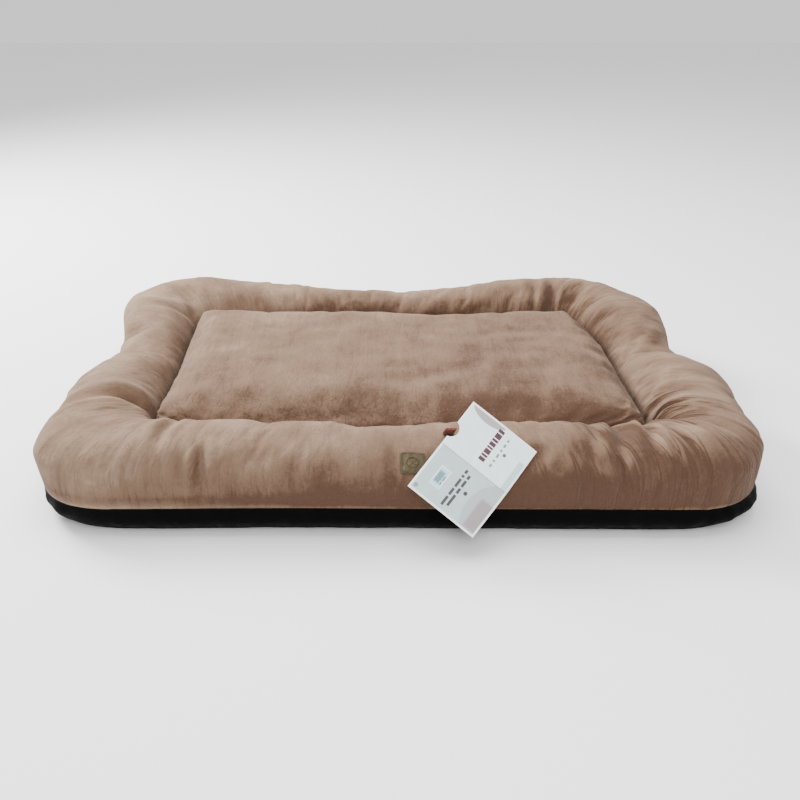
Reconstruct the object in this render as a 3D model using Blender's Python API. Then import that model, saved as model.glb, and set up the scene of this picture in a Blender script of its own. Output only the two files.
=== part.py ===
"""Bone-shaped pet cushion bed: a stuffed rim around a stuffed sleeping pad, with its hang tag.

The origin is on the floor under the middle of the bed.  +X runs along the long side, +Y goes
from the front edge to the back edge and +Z is up.  All sizes are in metres.
"""
import math

import bmesh
import bpy
from mathutils import Matrix, Vector

# Bed, seen from above
LENGTH = 0.900              # across the corner lobes, left to right
WIDTH = 0.615               # across the corner lobes, front to back
LOBE_RADIUS = 0.112         # plan radius of a corner lobe
SIDE_WAIST = 0.026          # how far each short side draws in between its lobes
FRONT_WAIST = 0.010         # how far each long side draws in between its lobes
RIM_WIDTH = 0.128           # from the perimeter seam to the sewn channel, on the short sides
LONG_RIM_WIDTH = 0.122      # the same on the long sides
PAD_BOW = 0.010             # how far the pad's long sides bow outwards in their middle
PAD_CORNER_RADIUS = 0.030   # corner of the sewn channel
CHANNEL_WIDTH = 0.004       # flat bottom of the sewn channel

# Bed, seen from the side
RIM_HEIGHT = 0.104          # crest of the rim between the lobes
LOBE_RISE = 0.010           # how much higher the lobes stand
PAD_HEIGHT = 0.088          # crown of the sleeping pad
CHANNEL_HEIGHT = 0.036      # top fabric where it is sewn down
SEAM_HEIGHT = 0.040         # perimeter seam between the plush and the base fabric
FLOOR_INSET = 0.016         # how far the floor contact line lies inside the seam
RIM_FULLNESS = 0.72         # exponent of the rim's section: less is squarer
PAD_FULLNESS = 7.0          # exponent of the pad's section: more is flatter

# Fabrics and thread
PLUSH = 0.0030
BASE_FABRIC = 0.0020
FIBRE_CLEARANCE = 0.0025    # between the fibre filling and the inside of the covers
TOUCH_GAP = 0.0003          # between pieces that touch
ALLOWANCE_WIDTH = 0.008     # turned-in edges of both covers at the perimeter seam
ALLOWANCE_THICKNESS = 0.003
THREAD_WALL = 0.0014        # the row of stitches through the bed at the channel

# Patch on the front of the rim
PATCH_WIDTH = 0.030
PATCH_HEIGHT = 0.027
PATCH_THICKNESS = 0.0012
PATCH_CORNER = 0.004
PATCH_X = 0.021             # middle of the patch, right of the middle of the bed
PATCH_TURN = 0.25           # place on the rim's section, from 0 at the seam to 1 at the channel
PATCH_STITCH_INSET = 0.0025
PATCH_THREAD = 0.0006

# Care label in the back seam
CARE_WIDTH = 0.030
CARE_LENGTH = 0.026
CARE_THICKNESS = 0.0006
CARE_X = -0.180

# Hang tag: one card with a fold across its middle, open and leaning on the front of the rim
CARD_WIDTH = 0.093          # along the fold
CARD_LENGTH = 0.125         # both halves together
CARD_THICKNESS = 0.0006
CARD_CORNER = 0.0015
TAG_X = 0.089               # middle of the fold
TAG_BELOW_CREST = 0.012     # middle of the fold below the crest of the rim
TAG_CLEARANCE = 0.0010      # between the back of the card and the rim
TAG_LEAN = math.radians(38.0)   # back from upright
TAG_TURN = math.radians(8.0)    # about the vertical
TAG_SPIN = math.radians(-43.0)  # in its own plane
TAG_BEND = math.radians(5.0)    # each half falls back from the fold by this much
NOTCH_RADIUS = 0.0105
NOTCH_ABOVE_FOLD = 0.0205   # middle of the notch along the card's left edge
NOTCH_OUTSIDE = 0.0025      # the notch's centre lies this far outside the edge
FOLD_GAP = 0.0004
STICKER_WIDTH = 0.014
STICKER_LENGTH = 0.025
STICKER_THICKNESS = 0.0003
STICKER_ALONG = -0.0235      # middle of the sticker along the fold
STICKER_BELOW = 0.032       # middle of the sticker below the fold

# Doubled ribbon that holds the card at its notch
RIBBON_WIDTH = 0.007
RIBBON_THICKNESS = 0.0014
RIBBON_TURN = 0.46          # where it leaves the rim's section
RIBBON_INSIDE_NOTCH = 0.0030
RIBBON_AHEAD = 0.0020       # how far it reaches in front of the card

# Divisions
LONG_STEPS = 14             # along a long side
SHORT_STEPS = 8             # along a short side
LOBE_STEPS = 7              # round a corner
RIM_STEPS = 10              # over the rim
PAD_STEPS = 5               # from the channel to the middle of the pad
ARC_STEPS = 10              # round the notch
TAG_SAMPLES = 32            # places on the rim where the card's clearance is taken
TAG_MARGIN = 0.004          # and how far beyond the card's edges

PAD_LENGTH = LENGTH - 2 * RIM_WIDTH
PAD_WIDTH = WIDTH - 2 * LONG_RIM_WIDTH


def clear_scene():
    """Remove whatever the file holds."""
    for thing in list(bpy.data.objects):
        bpy.data.objects.remove(thing, do_unlink=True)


def finish(name, colour, roughness):
    """A plain surface finish."""
    material = bpy.data.materials.new(name)
    material.use_nodes = True
    shader = material.node_tree.nodes["Principled BSDF"]
    shader.inputs["Base Color"].default_value = (*colour, 1.0)
    shader.inputs["Roughness"].default_value = roughness
    shader.inputs["Metallic"].default_value = 0.0
    return material


def add_object(name, mesh, material):
    """Link one sub-part to the scene."""
    thing = bpy.data.objects.new(name, mesh)
    thing.data.materials.append(material)
    bpy.context.scene.collection.objects.link(thing)
    return thing


def outline(length, width, radius, side_draw, front_draw, inset=0.0):
    """Rounded rectangle with drawn-in sides, anticlockwise from the right.

    Each point is (x, y, lobe): lobe is 1 on a corner and falls to 0 mid-side.
    """
    points = []
    corners = ((1, 1), (-1, 1), (-1, -1), (1, -1))
    for number, (side_x, side_y) in enumerate(corners):
        start = number * math.pi / 2
        centre_x = side_x * (length / 2 - radius)
        centre_y = side_y * (width / 2 - radius)
        for step in range(LOBE_STEPS + 1):
            angle = start + step / LOBE_STEPS * math.pi / 2
            points.append((centre_x + (radius - inset) * math.cos(angle),
                           centre_y + (radius - inset) * math.sin(angle), 1.0))
        steps, run, draw = (LONG_STEPS, length, front_draw) if number % 2 == 0 else (
            SHORT_STEPS, width, side_draw)
        across = start + math.pi / 2
        half_run = run / 2 - radius
        reach = (width if number % 2 == 0 else length) / 2 - inset
        for step in range(1, steps):
            place = 1 - 2 * step / steps
            waist = (1 + math.cos(math.pi * place)) / 2
            along = place * half_run
            out = reach - draw * waist
            points.append((out * math.cos(across) + along * math.sin(across),
                           out * math.sin(across) - along * math.cos(across), 1 - waist))
    return points


def seam_outline(inset=0.0):
    """The perimeter seam, or a line inside it."""
    return outline(LENGTH, WIDTH, LOBE_RADIUS, SIDE_WAIST, FRONT_WAIST, inset)


def channel_outline(inset=0.0):
    """The middle line of the sewn channel, or a line inside it."""
    return outline(PAD_LENGTH, PAD_WIDTH, PAD_CORNER_RADIUS, 0.0, -PAD_BOW, inset)


def rim_rise(lobe):
    """Height of the rim's crest above the line from the seam to the channel."""
    return RIM_HEIGHT + LOBE_RISE * lobe - (SEAM_HEIGHT + CHANNEL_HEIGHT) / 2


def rim_point(outer, inner, turn, lobe, shrink=0.0):
    """A point on the rim: turn is 0 at the seam and 1 at the channel."""
    share = (1 - math.cos(math.pi * turn)) / 2
    rise = rim_rise(lobe) * max(math.sin(math.pi * turn), 0.0) ** RIM_FULLNESS
    return (outer[0] + (inner[0] - outer[0]) * share,
            outer[1] + (inner[1] - outer[1]) * share,
            SEAM_HEIGHT + (CHANNEL_HEIGHT - SEAM_HEIGHT) * share + rise - shrink)


def rim_rows(shrink=0.0, outer_inset=0.0):
    """Rows of points over the rim, or over a surface lying inside it by shrink."""
    outer = seam_outline(shrink + outer_inset)
    inner = channel_outline(-CHANNEL_WIDTH / 2 - shrink)
    return [[rim_point(start, end, step / RIM_STEPS, start[2], shrink)
             for start, end in zip(outer, inner)] for step in range(RIM_STEPS + 1)]


def pad_rise(scale):
    """Share of the pad's crown at a scale from 1 at the channel to 0 in the middle."""
    return math.sqrt(1 - min(scale, 1.0) ** PAD_FULLNESS)


def pad_rows(shrink=0.0):
    """Rows of points from the channel towards the middle of the pad."""
    edge = channel_outline(CHANNEL_WIDTH / 2 + shrink)
    spread = 1 + 2 * shrink / PAD_WIDTH
    rows = []
    for step in range(PAD_STEPS + 1):
        scale = math.sqrt(1 - (step / (PAD_STEPS + 1)) ** 1.6)
        crown = (PAD_HEIGHT - CHANNEL_HEIGHT) * pad_rise(scale * spread)
        rows.append([(x * scale, y * scale, CHANNEL_HEIGHT - shrink + crown)
                     for x, y, _ in edge])
    return rows


def bridge(bm, loops):
    """Join neighbouring loops of equal length with quads."""
    for lower, upper in zip(loops, loops[1:]):
        count = len(lower)
        for i in range(count):
            j = (i + 1) % count
            bm.faces.new((lower[i], lower[j], upper[j], upper[i]))


def add_loop(bm, points):
    """Add one loop of vertices."""
    return [bm.verts.new(point) for point in points]


def cap(bm, loop, point, upwards=True):
    """Close a loop with a fan to one middle point."""
    middle = bm.verts.new(point)
    count = len(loop)
    for i in range(count):
        j = (i + 1) % count
        edge = (loop[i], loop[j]) if upwards else (loop[j], loop[i])
        bm.faces.new((*edge, middle))


def mesh_from(bm, name, smooth=True):
    """Turn a bmesh into a mesh, with its faces pointing out."""
    bmesh.ops.recalc_face_normals(bm, faces=bm.faces)
    mesh = bpy.data.meshes.new(name)
    bm.to_mesh(mesh)
    bm.free()
    if smooth:
        mesh.shade_smooth()
        mesh.set_sharp_from_angle(angle=math.radians(50))
    return mesh


def ring_solid(name, loops_of_points, material):
    """A closed ring whose section is the same at every outline point."""
    bm = bmesh.new()
    loops = [add_loop(bm, points) for points in loops_of_points]
    bridge(bm, loops + [loops[0]])
    return add_object(name, mesh_from(bm, name), material)


def build_top_cover(material):
    """Plush top: over the rim, down into the sewn channel and over the pad."""
    above_seam = SEAM_HEIGHT + TOUCH_GAP / 2
    outside = rim_rows() + pad_rows()
    inside = rim_rows(PLUSH) + pad_rows(PLUSH)
    for rows in (outside, inside):
        rows[0] = [(x, y, above_seam) for x, y, _ in rows[0]]
    bm = bmesh.new()
    outside = [add_loop(bm, row) for row in outside]
    inside = [add_loop(bm, row) for row in inside]
    bridge(bm, list(reversed(inside)) + outside)
    cap(bm, outside[-1], (0, 0, PAD_HEIGHT))
    cap(bm, inside[-1], (0, 0, PAD_HEIGHT - PLUSH), upwards=False)
    return add_object("top_cover", mesh_from(bm, "top_cover"), material)


def build_base_cover(material):
    """Woven base: a shallow tray, flat where it stands on the floor."""
    below_seam = SEAM_HEIGHT - TOUCH_GAP / 2
    bends = ((FLOOR_INSET * 0.22, SEAM_HEIGHT * 0.40), (FLOOR_INSET * 0.55, SEAM_HEIGHT * 0.11),
             (FLOOR_INSET, 0.0))
    bm = bmesh.new()
    walls = []
    for wall in (0.0, BASE_FABRIC):
        profile = [(wall, below_seam)] + [(inset + wall, height + wall)
                                          for inset, height in bends]
        walls.append([add_loop(bm, [(x, y, height) for x, y, _ in seam_outline(inset)])
                      for inset, height in profile])
    outside, inside = walls
    bridge(bm, list(reversed(inside)) + outside)
    bm.faces.new(list(reversed(outside[-1])))
    bm.faces.new(inside[-1])
    return add_object("base_cover", mesh_from(bm, "base_cover"), material)


def filling_portion(name, columns, material):
    """One portion of the rim's fibre: sections in order, drawn back a little at both ends."""
    ends = []
    for column, inwards in ((columns[0], columns[1]), (columns[-1], columns[-2])):
        ends.append([Vector(point) + (Vector(goal) - Vector(point)).normalized() * TOUCH_GAP / 2
                     for point, goal in zip(column, inwards)])
    bm = bmesh.new()
    loops = [add_loop(bm, points) for points in (ends[0], *columns[1:-1], ends[1])]
    bridge(bm, loops)
    for loop in (loops[0], loops[-1]):
        middle = sum((vert.co for vert in loop), Vector()) / len(loop)
        cap(bm, loop, middle)
    return add_object(name, mesh_from(bm, name), material)


def build_rim_filling(material):
    """Fibre in the rim, pushed in as a run along each side and a plump portion in each lobe."""
    shrink = PLUSH + FIBRE_CLEARANCE
    floor = BASE_FABRIC + TOUCH_GAP
    rows = rim_rows(shrink, ALLOWANCE_WIDTH)
    rows.append([(x, y, floor) for x, y, _ in channel_outline(-CHANNEL_WIDTH / 2 - shrink)])
    rows.append([(x, y, floor) for x, y, _ in seam_outline(FLOOR_INSET + shrink)])
    columns = list(zip(*rows))
    portions = (("lobe_filling_back_right", LOBE_STEPS), ("rim_filling_back", LONG_STEPS),
                ("lobe_filling_back_left", LOBE_STEPS), ("rim_filling_left", SHORT_STEPS),
                ("lobe_filling_front_left", LOBE_STEPS), ("rim_filling_front", LONG_STEPS),
                ("lobe_filling_front_right", LOBE_STEPS), ("rim_filling_right", SHORT_STEPS))
    first = 0
    for name, steps in portions:
        picked = [columns[(first + step) % len(columns)] for step in range(steps + 1)]
        filling_portion(name, picked, material)
        first += steps


def build_centre_filling(material):
    """Fibre pad under the sleeping area."""
    shrink = PLUSH + FIBRE_CLEARANCE
    floor = BASE_FABRIC + TOUCH_GAP
    rows = pad_rows(shrink)
    rows.insert(0, [(x, y, floor) for x, y, _ in rows[0]])
    bm = bmesh.new()
    loops = [add_loop(bm, row) for row in rows]
    bridge(bm, loops)
    cap(bm, loops[-1], (0, 0, PAD_HEIGHT - shrink))
    bm.faces.new(list(reversed(loops[0])))
    return add_object("centre_filling", mesh_from(bm, "centre_filling"), material)


def build_seam_allowance(material):
    """The turned-in edges of both covers, sewn together inside the perimeter."""
    start = PLUSH + TOUCH_GAP
    low = SEAM_HEIGHT - ALLOWANCE_THICKNESS / 2
    high = SEAM_HEIGHT + ALLOWANCE_THICKNESS / 2
    rows = ((start, low), (start, high), (start + ALLOWANCE_WIDTH, high),
            (start + ALLOWANCE_WIDTH, low))
    return ring_solid("perimeter_seam_allowance", [
        [(x, y, height) for x, y, _ in seam_outline(inset)] for inset, height in rows], material)


def build_channel_stitching(material):
    """The row of stitches that holds the top cover down to the base at the channel."""
    low = BASE_FABRIC + TOUCH_GAP
    high = CHANNEL_HEIGHT - PLUSH - TOUCH_GAP
    half = THREAD_WALL / 2
    rows = ((-half, low), (-half, high), (half, high), (half, low))
    return ring_solid("channel_stitching", [
        [(x, y, height) for x, y, _ in channel_outline(inset)] for inset, height in rows],
        material)


def rounded_plate(width, height, radius, steps=4):
    """Outline of a plate with rounded corners, anticlockwise, in its own plane."""
    points = []
    for number, (side_x, side_y) in enumerate(((1, 1), (-1, 1), (-1, -1), (1, -1))):
        for step in range(steps + 1):
            angle = (number + step / steps) * math.pi / 2
            points.append((side_x * (width / 2 - radius) + radius * math.cos(angle),
                           side_y * (height / 2 - radius) + radius * math.sin(angle)))
    return points


def plate_solid(name, points, low, high, frame, material):
    """A flat plate between two heights of a frame."""
    bm = bmesh.new()
    bottom = add_loop(bm, [(x, y, low) for x, y in points])
    top = add_loop(bm, [(x, y, high) for x, y in points])
    bridge(bm, [bottom, top])
    bm.faces.new(top)
    bm.faces.new(list(reversed(bottom)))
    thing = add_object(name, mesh_from(bm, name, smooth=False), material)
    thing.matrix_world = frame
    return thing


def long_side_waist(x):
    """How far a long side draws in at x, from 0 at the lobes to 1 mid-side."""
    place = min(abs(x) / (LENGTH / 2 - LOBE_RADIUS), 1.0)
    return (1 + math.cos(math.pi * place)) / 2


def front_point(x, turn):
    """A point on the front of the rim."""
    waist = long_side_waist(x)
    outer = (x, -(WIDTH / 2 - FRONT_WAIST * waist))
    inner = (x, -(PAD_WIDTH + CHANNEL_WIDTH) / 2 - PAD_BOW * waist)
    return Vector(rim_point(outer, inner, turn, 1 - waist))


def frame_on_front(x, turn):
    """A frame on the front of the rim: its Z stands off the surface and its X runs right."""
    step = 0.01
    up = (front_point(x, turn + step) - front_point(x, turn - step)).normalized()
    right = Vector((1, 0, 0))
    out = right.cross(up).normalized()
    return (Matrix.Translation(front_point(x, turn))
            @ Matrix((right, up, out)).transposed().to_4x4())


def build_patch(leather, thread):
    """Small sewn-on patch on the front of the rim, and its row of stitches."""
    frame = frame_on_front(PATCH_X, PATCH_TURN)
    stand_off = PATCH_HEIGHT ** 2 / 8 / (RIM_WIDTH / 2) * 0.25 + 2 * TOUCH_GAP
    patch = plate_solid("patch_label", rounded_plate(PATCH_WIDTH, PATCH_HEIGHT, PATCH_CORNER),
                        stand_off, stand_off + PATCH_THICKNESS, frame, leather)
    low = stand_off + PATCH_THICKNESS + TOUCH_GAP
    high = low + PATCH_THREAD
    outside = rounded_plate(PATCH_WIDTH - 2 * PATCH_STITCH_INSET,
                            PATCH_HEIGHT - 2 * PATCH_STITCH_INSET, PATCH_CORNER / 2)
    inside = rounded_plate(PATCH_WIDTH - 2 * PATCH_STITCH_INSET - 2 * PATCH_THREAD,
                           PATCH_HEIGHT - 2 * PATCH_STITCH_INSET - 2 * PATCH_THREAD,
                           PATCH_CORNER / 2 - PATCH_THREAD)
    ring = ring_solid("patch_stitching", [
        [(x, y, low) for x, y in outside], [(x, y, high) for x, y in outside],
        [(x, y, high) for x, y in inside], [(x, y, low) for x, y in inside]], thread)
    ring.matrix_world = frame
    return patch, ring


def build_care_label(material):
    """Folded fabric label that hangs out of the back seam."""
    outer_edge = abs(CARE_X) + CARE_WIDTH / 2
    back = WIDTH / 2 - FRONT_WAIST * long_side_waist(outer_edge) + 2 * TOUCH_GAP
    points = rounded_plate(CARE_WIDTH, CARE_LENGTH, CARE_THICKNESS)
    frame = (Matrix.Translation((CARE_X, back, SEAM_HEIGHT - CARE_LENGTH / 2))
             @ Matrix.Rotation(-math.pi / 2, 4, "X"))
    return plate_solid("care_label", points, 0.0, CARE_THICKNESS, frame, material)


def tag_frame():
    """Frame of the open card: origin mid-fold on its printed face, X along the fold.

    The card stands as far forward as both its halves need to clear the rim behind them.
    """
    turn = Matrix.Rotation(TAG_TURN, 4, "Z")
    lean = Matrix.Rotation(math.pi / 2 - TAG_LEAN, 4, "X")
    spin = Matrix.Rotation(TAG_SPIN, 4, "Z")
    front = -(WIDTH / 2 - FRONT_WAIST)
    place = Matrix.Translation((TAG_X, front, RIM_HEIGHT - TAG_BELOW_CREST))
    frame = place @ turn @ lean @ spin
    reach = []
    for side in (1, -1):
        to_card = (frame @ Matrix.Rotation(-side * TAG_BEND, 4, "X")).inverted()
        for column in range(TAG_SAMPLES + 1):
            x = TAG_X + CARD_LENGTH * (2 * column / TAG_SAMPLES - 1)
            for row in range(1, TAG_SAMPLES):
                point = to_card @ front_point(x, row / TAG_SAMPLES)
                beside = abs(point.x) - CARD_WIDTH / 2
                beyond = side * point.y - CARD_LENGTH / 2
                if max(beside, beyond) < TAG_MARGIN and side * point.y > -TAG_MARGIN:
                    reach.append(point.z)
    forward = (max(reach) + CARD_THICKNESS + TAG_CLEARANCE) / frame.col[2].y
    return Matrix.Translation((0.0, forward, 0.0)) @ frame


def notch_point():
    """Middle of the notch on the card's left edge, where the card hangs and swings."""
    bent = Matrix.Rotation(-TAG_BEND, 4, "X")
    return tag_frame() @ bent @ Vector((-CARD_WIDTH / 2, NOTCH_ABOVE_FOLD, 0.0))


def hinge_empty(name, place, parent=None):
    """An empty on a joint's axis that carries what turns about it."""
    pivot = bpy.data.objects.new(name, None)
    bpy.context.scene.collection.objects.link(pivot)
    pivot.matrix_world = place
    if parent is not None:
        hang(pivot, parent)
    return pivot


def hang(thing, pivot):
    """Parent an object to a pivot without moving it."""
    bpy.context.view_layer.update()
    thing.parent = pivot
    thing.matrix_parent_inverse = pivot.matrix_world.inverted()


def upper_card_outline():
    """Upper half of the card, with the round notch in its left edge."""
    left, right = -CARD_WIDTH / 2, CARD_WIDTH / 2
    low, high = FOLD_GAP / 2, CARD_LENGTH / 2
    centre_x = left - NOTCH_OUTSIDE
    reach = math.acos(NOTCH_OUTSIDE / NOTCH_RADIUS)
    points = [(left, low), (right, low), (right, high - CARD_CORNER),
              (right - CARD_CORNER, high), (left + CARD_CORNER, high),
              (left, high - CARD_CORNER)]
    for step in range(ARC_STEPS + 1):
        angle = reach * (1 - 2 * step / ARC_STEPS)
        points.append((centre_x + NOTCH_RADIUS * math.cos(angle),
                       NOTCH_ABOVE_FOLD + NOTCH_RADIUS * math.sin(angle)))
    return points


def lower_card_outline():
    """Lower half of the card."""
    left, right = -CARD_WIDTH / 2, CARD_WIDTH / 2
    low, high = -CARD_LENGTH / 2, -FOLD_GAP / 2
    return [(left, high), (left, low + CARD_CORNER), (left + CARD_CORNER, low),
            (right - CARD_CORNER, low), (right, low + CARD_CORNER), (right, high)]


def build_tag(card, paper):
    """The two halves of the open card and the price sticker on the lower one."""
    frame = tag_frame()
    upper_frame = frame @ Matrix.Rotation(-TAG_BEND, 4, "X")
    lower_frame = frame @ Matrix.Rotation(TAG_BEND, 4, "X")
    swing = hinge_empty("tag_swing_axis", Matrix.Translation(notch_point())
                        @ Matrix.Rotation(TAG_TURN, 4, "Z"))
    fold = hinge_empty("tag_fold_axis", frame, swing)
    upper = plate_solid("tag_upper_panel", upper_card_outline(), -CARD_THICKNESS, 0.0,
                        upper_frame, card)
    hang(upper, swing)
    lower = plate_solid("tag_lower_panel", lower_card_outline(), -CARD_THICKNESS, 0.0,
                        lower_frame, card)
    hang(lower, fold)
    place = lower_frame @ Matrix.Translation((STICKER_ALONG, -STICKER_BELOW, 0.0))
    sticker = plate_solid("price_sticker",
                          rounded_plate(STICKER_LENGTH, STICKER_WIDTH, CARD_CORNER),
                          TOUCH_GAP, TOUCH_GAP + STICKER_THICKNESS, place, paper)
    hang(sticker, fold)


def build_ribbon(material):
    """Doubled ribbon that stands on the rim's crest and passes through the notch."""
    frame = tag_frame()
    inside = frame.to_3x3() @ Vector((RIBBON_INSIDE_NOTCH, 0.0, RIBBON_AHEAD))
    top = notch_point() + inside
    foot_frame = frame_on_front(top.x, RIBBON_TURN)
    foot = foot_frame @ Vector((0.0, 0.0, RIBBON_THICKNESS / 2 + 2 * TOUCH_GAP))
    up = (top - foot).normalized()
    right = Vector((1, 0, 0))
    out = right.cross(up).normalized()
    right = up.cross(out)
    place = (Matrix.Translation((foot + top) / 2)
             @ Matrix((right, up, out)).transposed().to_4x4())
    length = (top - foot).length
    return plate_solid("tag_ribbon", rounded_plate(RIBBON_WIDTH, length, RIBBON_THICKNESS / 2),
                       -RIBBON_THICKNESS / 2, RIBBON_THICKNESS / 2, place, material)


def main():
    """Build every sub-part of the bed."""
    clear_scene()
    plush = finish("plush", (0.34, 0.22, 0.16), 0.95)
    base = finish("base_fabric", (0.012, 0.011, 0.011), 0.80)
    fibre = finish("fibre", (0.85, 0.85, 0.84), 1.0)
    thread = finish("thread", (0.20, 0.13, 0.09), 0.80)
    leather = finish("patch_leather", (0.24, 0.18, 0.11), 0.60)
    satin = finish("label_satin", (0.80, 0.80, 0.78), 0.50)
    card = finish("card", (0.78, 0.86, 0.88), 0.45)
    paper = finish("sticker_paper", (0.74, 0.87, 0.92), 0.50)
    ribbon = finish("ribbon", (0.25, 0.06, 0.05), 0.50)
    build_top_cover(plush)
    build_base_cover(base)
    build_rim_filling(fibre)
    build_centre_filling(fibre)
    build_seam_allowance(base)
    build_channel_stitching(thread)
    build_patch(leather, thread)
    build_care_label(satin)
    build_tag(card, paper)
    build_ribbon(ribbon)


main()
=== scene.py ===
"""Pet cushion bed: the finished look of every piece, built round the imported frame.

The bed is one plush cover sewn to a black woven base along its edge and along a channel
round the middle, stuffed with loose fibre. A folded card tag hangs from a ribbon.
Lengths are in metres, +Z is up and the front faces -Y.
"""
import logging
import math
from dataclasses import dataclass, field
from enum import Enum

import bmesh
import bpy
import numpy as np
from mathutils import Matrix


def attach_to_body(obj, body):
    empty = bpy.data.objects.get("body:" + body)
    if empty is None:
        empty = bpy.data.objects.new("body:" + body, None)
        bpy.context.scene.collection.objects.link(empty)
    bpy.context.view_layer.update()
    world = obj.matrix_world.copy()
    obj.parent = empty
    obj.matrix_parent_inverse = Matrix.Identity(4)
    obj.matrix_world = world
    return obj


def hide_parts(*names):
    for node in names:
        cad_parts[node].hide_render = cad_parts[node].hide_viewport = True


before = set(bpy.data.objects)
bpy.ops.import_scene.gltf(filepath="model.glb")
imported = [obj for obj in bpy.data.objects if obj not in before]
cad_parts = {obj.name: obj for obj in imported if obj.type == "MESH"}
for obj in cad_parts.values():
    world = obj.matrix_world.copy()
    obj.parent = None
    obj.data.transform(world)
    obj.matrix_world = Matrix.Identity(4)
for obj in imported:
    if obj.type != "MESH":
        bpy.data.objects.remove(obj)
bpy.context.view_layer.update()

LOG = logging.getLogger("bed")
TAU = 2 * math.pi
HALF_LENGTH = 0.45
PAINTED_LIGHT_WAY = (-0.42, 0.40, 0.81)  # way towards the key light; plush turned to it is painted lighter, plush turned away gets painted shade
SHEET_UNIT = 0.125  # what one unit of a card's or label's map stands for


class Body(Enum):
    """Bodies of the frame that a piece can ride on."""

    BED = "bed"
    TAG_UPPER = "tag_upper"
    TAG_LOWER = "tag_lower"


class Corner(Enum):
    """Corners of the bed, as signs along X and Y, in anticlockwise order."""

    BACK_RIGHT = (1, 1)
    BACK_LEFT = (-1, 1)
    FRONT_LEFT = (-1, -1)
    FRONT_RIGHT = (1, -1)


# ---------------------------------------------------------------- mesh and array helpers


def ring_quads(columns: int, rows: int, closed_rows: bool) -> np.ndarray:
    """Corner numbers of the quads of a grid whose columns run round in a ring.

    Args:
        columns: number of columns; the last one joins the first.
        rows: number of rows.
        closed_rows: whether the last row joins the first too.

    Returns:
        An array of four vertex numbers per quad, facing along column x row.
    """
    column = np.arange(columns)[:, None]
    row = np.arange(rows if closed_rows else rows - 1)[None, :]
    after, above = (column + 1) % columns, (row + 1) % rows
    corners = [column * rows + row, after * rows + row, after * rows + above,
               column * rows + above]
    return np.stack(corners, axis=-1).reshape(-1, 4)


def sheet_quads(columns: int, rows: int) -> np.ndarray:
    """Corner numbers of the quads of an open grid.

    Args:
        columns: number of points along the first direction.
        rows: number of points along the second direction.

    Returns:
        An array of four vertex numbers per quad, facing along column x row.
    """
    column = np.arange(columns - 1)[:, None]
    row = np.arange(rows - 1)[None, :]
    corners = [column * rows + row, (column + 1) * rows + row,
               (column + 1) * rows + row + 1, column * rows + row + 1]
    return np.stack(corners, axis=-1).reshape(-1, 4)


def make_object(name: str, points: np.ndarray, quads: np.ndarray,
                merge: bool = False) -> bpy.types.Object:
    """Put whole arrays of points and quads into a smooth-shaded mesh object.

    Args:
        name: the piece's name.
        points: vertex positions, any shape ending in 3.
        quads: four vertex numbers per face.
        merge: whether coincident points are joined and the faces turned outwards.

    Returns:
        The object, at the origin, in the scene.
    """
    mesh = bpy.data.meshes.new(name)
    flat = np.asarray(points, dtype=np.float32).reshape(-1, 3)
    mesh.vertices.add(len(flat))
    mesh.vertices.foreach_set("co", flat.ravel())
    mesh.loops.add(quads.size)
    mesh.loops.foreach_set("vertex_index", quads.astype(np.int32).ravel())
    mesh.polygons.add(len(quads))
    mesh.polygons.foreach_set("loop_start", np.arange(0, quads.size, 4, dtype=np.int32))
    mesh.update(calc_edges=True)
    if merge:
        bm = bmesh.new()
        bm.from_mesh(mesh)
        bmesh.ops.remove_doubles(bm, verts=bm.verts, dist=1e-5)
        bmesh.ops.recalc_face_normals(bm, faces=bm.faces)
        bm.to_mesh(mesh)
        bm.free()
    mesh.validate()
    mesh.shade_smooth()
    piece = bpy.data.objects.new(name, mesh)
    bpy.context.scene.collection.objects.link(piece)
    return piece


def subdivide(piece: bpy.types.Object, levels: int = 1) -> None:
    """Finish a piece with a subdivision surface, the same in view and render."""
    modifier = piece.modifiers.new("Subdivision", "SUBSURF")
    modifier.levels = modifier.render_levels = levels


def thicken(piece: bpy.types.Object, thickness: float) -> None:
    """Give a sheet its thickness behind its face."""
    modifier = piece.modifiers.new("Solidify", "SOLIDIFY")
    modifier.thickness = thickness
    modifier.offset = -1.0


def give_plane_coordinates(piece: bpy.types.Object, across: np.ndarray,
                           along: np.ndarray) -> None:
    """Store a map from each vertex to its place on the flat cloth or card.

    Args:
        piece: the object whose mesh gets the map.
        across: first coordinate of each vertex, from 0 to 1.
        along: second coordinate of each vertex, from 0 to 1.
    """
    layer = piece.data.uv_layers.new(name="UVMap")
    corner = np.empty(len(piece.data.loops), dtype=np.int32)
    piece.data.loops.foreach_get("vertex_index", corner)
    both = np.stack([across.ravel()[corner], along.ravel()[corner]], axis=1)
    layer.data.foreach_set("uv", both.astype(np.float32).ravel())


def brush(piece: bpy.types.Object, nap_and_shade: np.ndarray, drawn: np.ndarray,
          cloth: np.ndarray) -> None:
    """Store the nap with its painted light and shade at each vertex, and where the vertex is on
    the cloth.

    Args:
        piece: the plush piece.
        nap_and_shade: lie of the pile with painted light and shade added, from 0 (dark) to 1
            (light).
        drawn: how tightly the cloth is gathered, from 0 to 1.
        cloth: place on the cloth, in metres; its third number runs along the streaks.
    """
    for name, values in (("nap_and_shade", nap_and_shade), ("gathers", drawn)):
        layer = piece.data.attributes.new(name, "FLOAT", "POINT")
        layer.data.foreach_set("value", np.clip(values, 0, 1).astype(np.float32).ravel())
    layer = piece.data.attributes.new("cloth", "FLOAT_VECTOR", "POINT")
    layer.data.foreach_set("vector", cloth.astype(np.float32).ravel())


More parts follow.
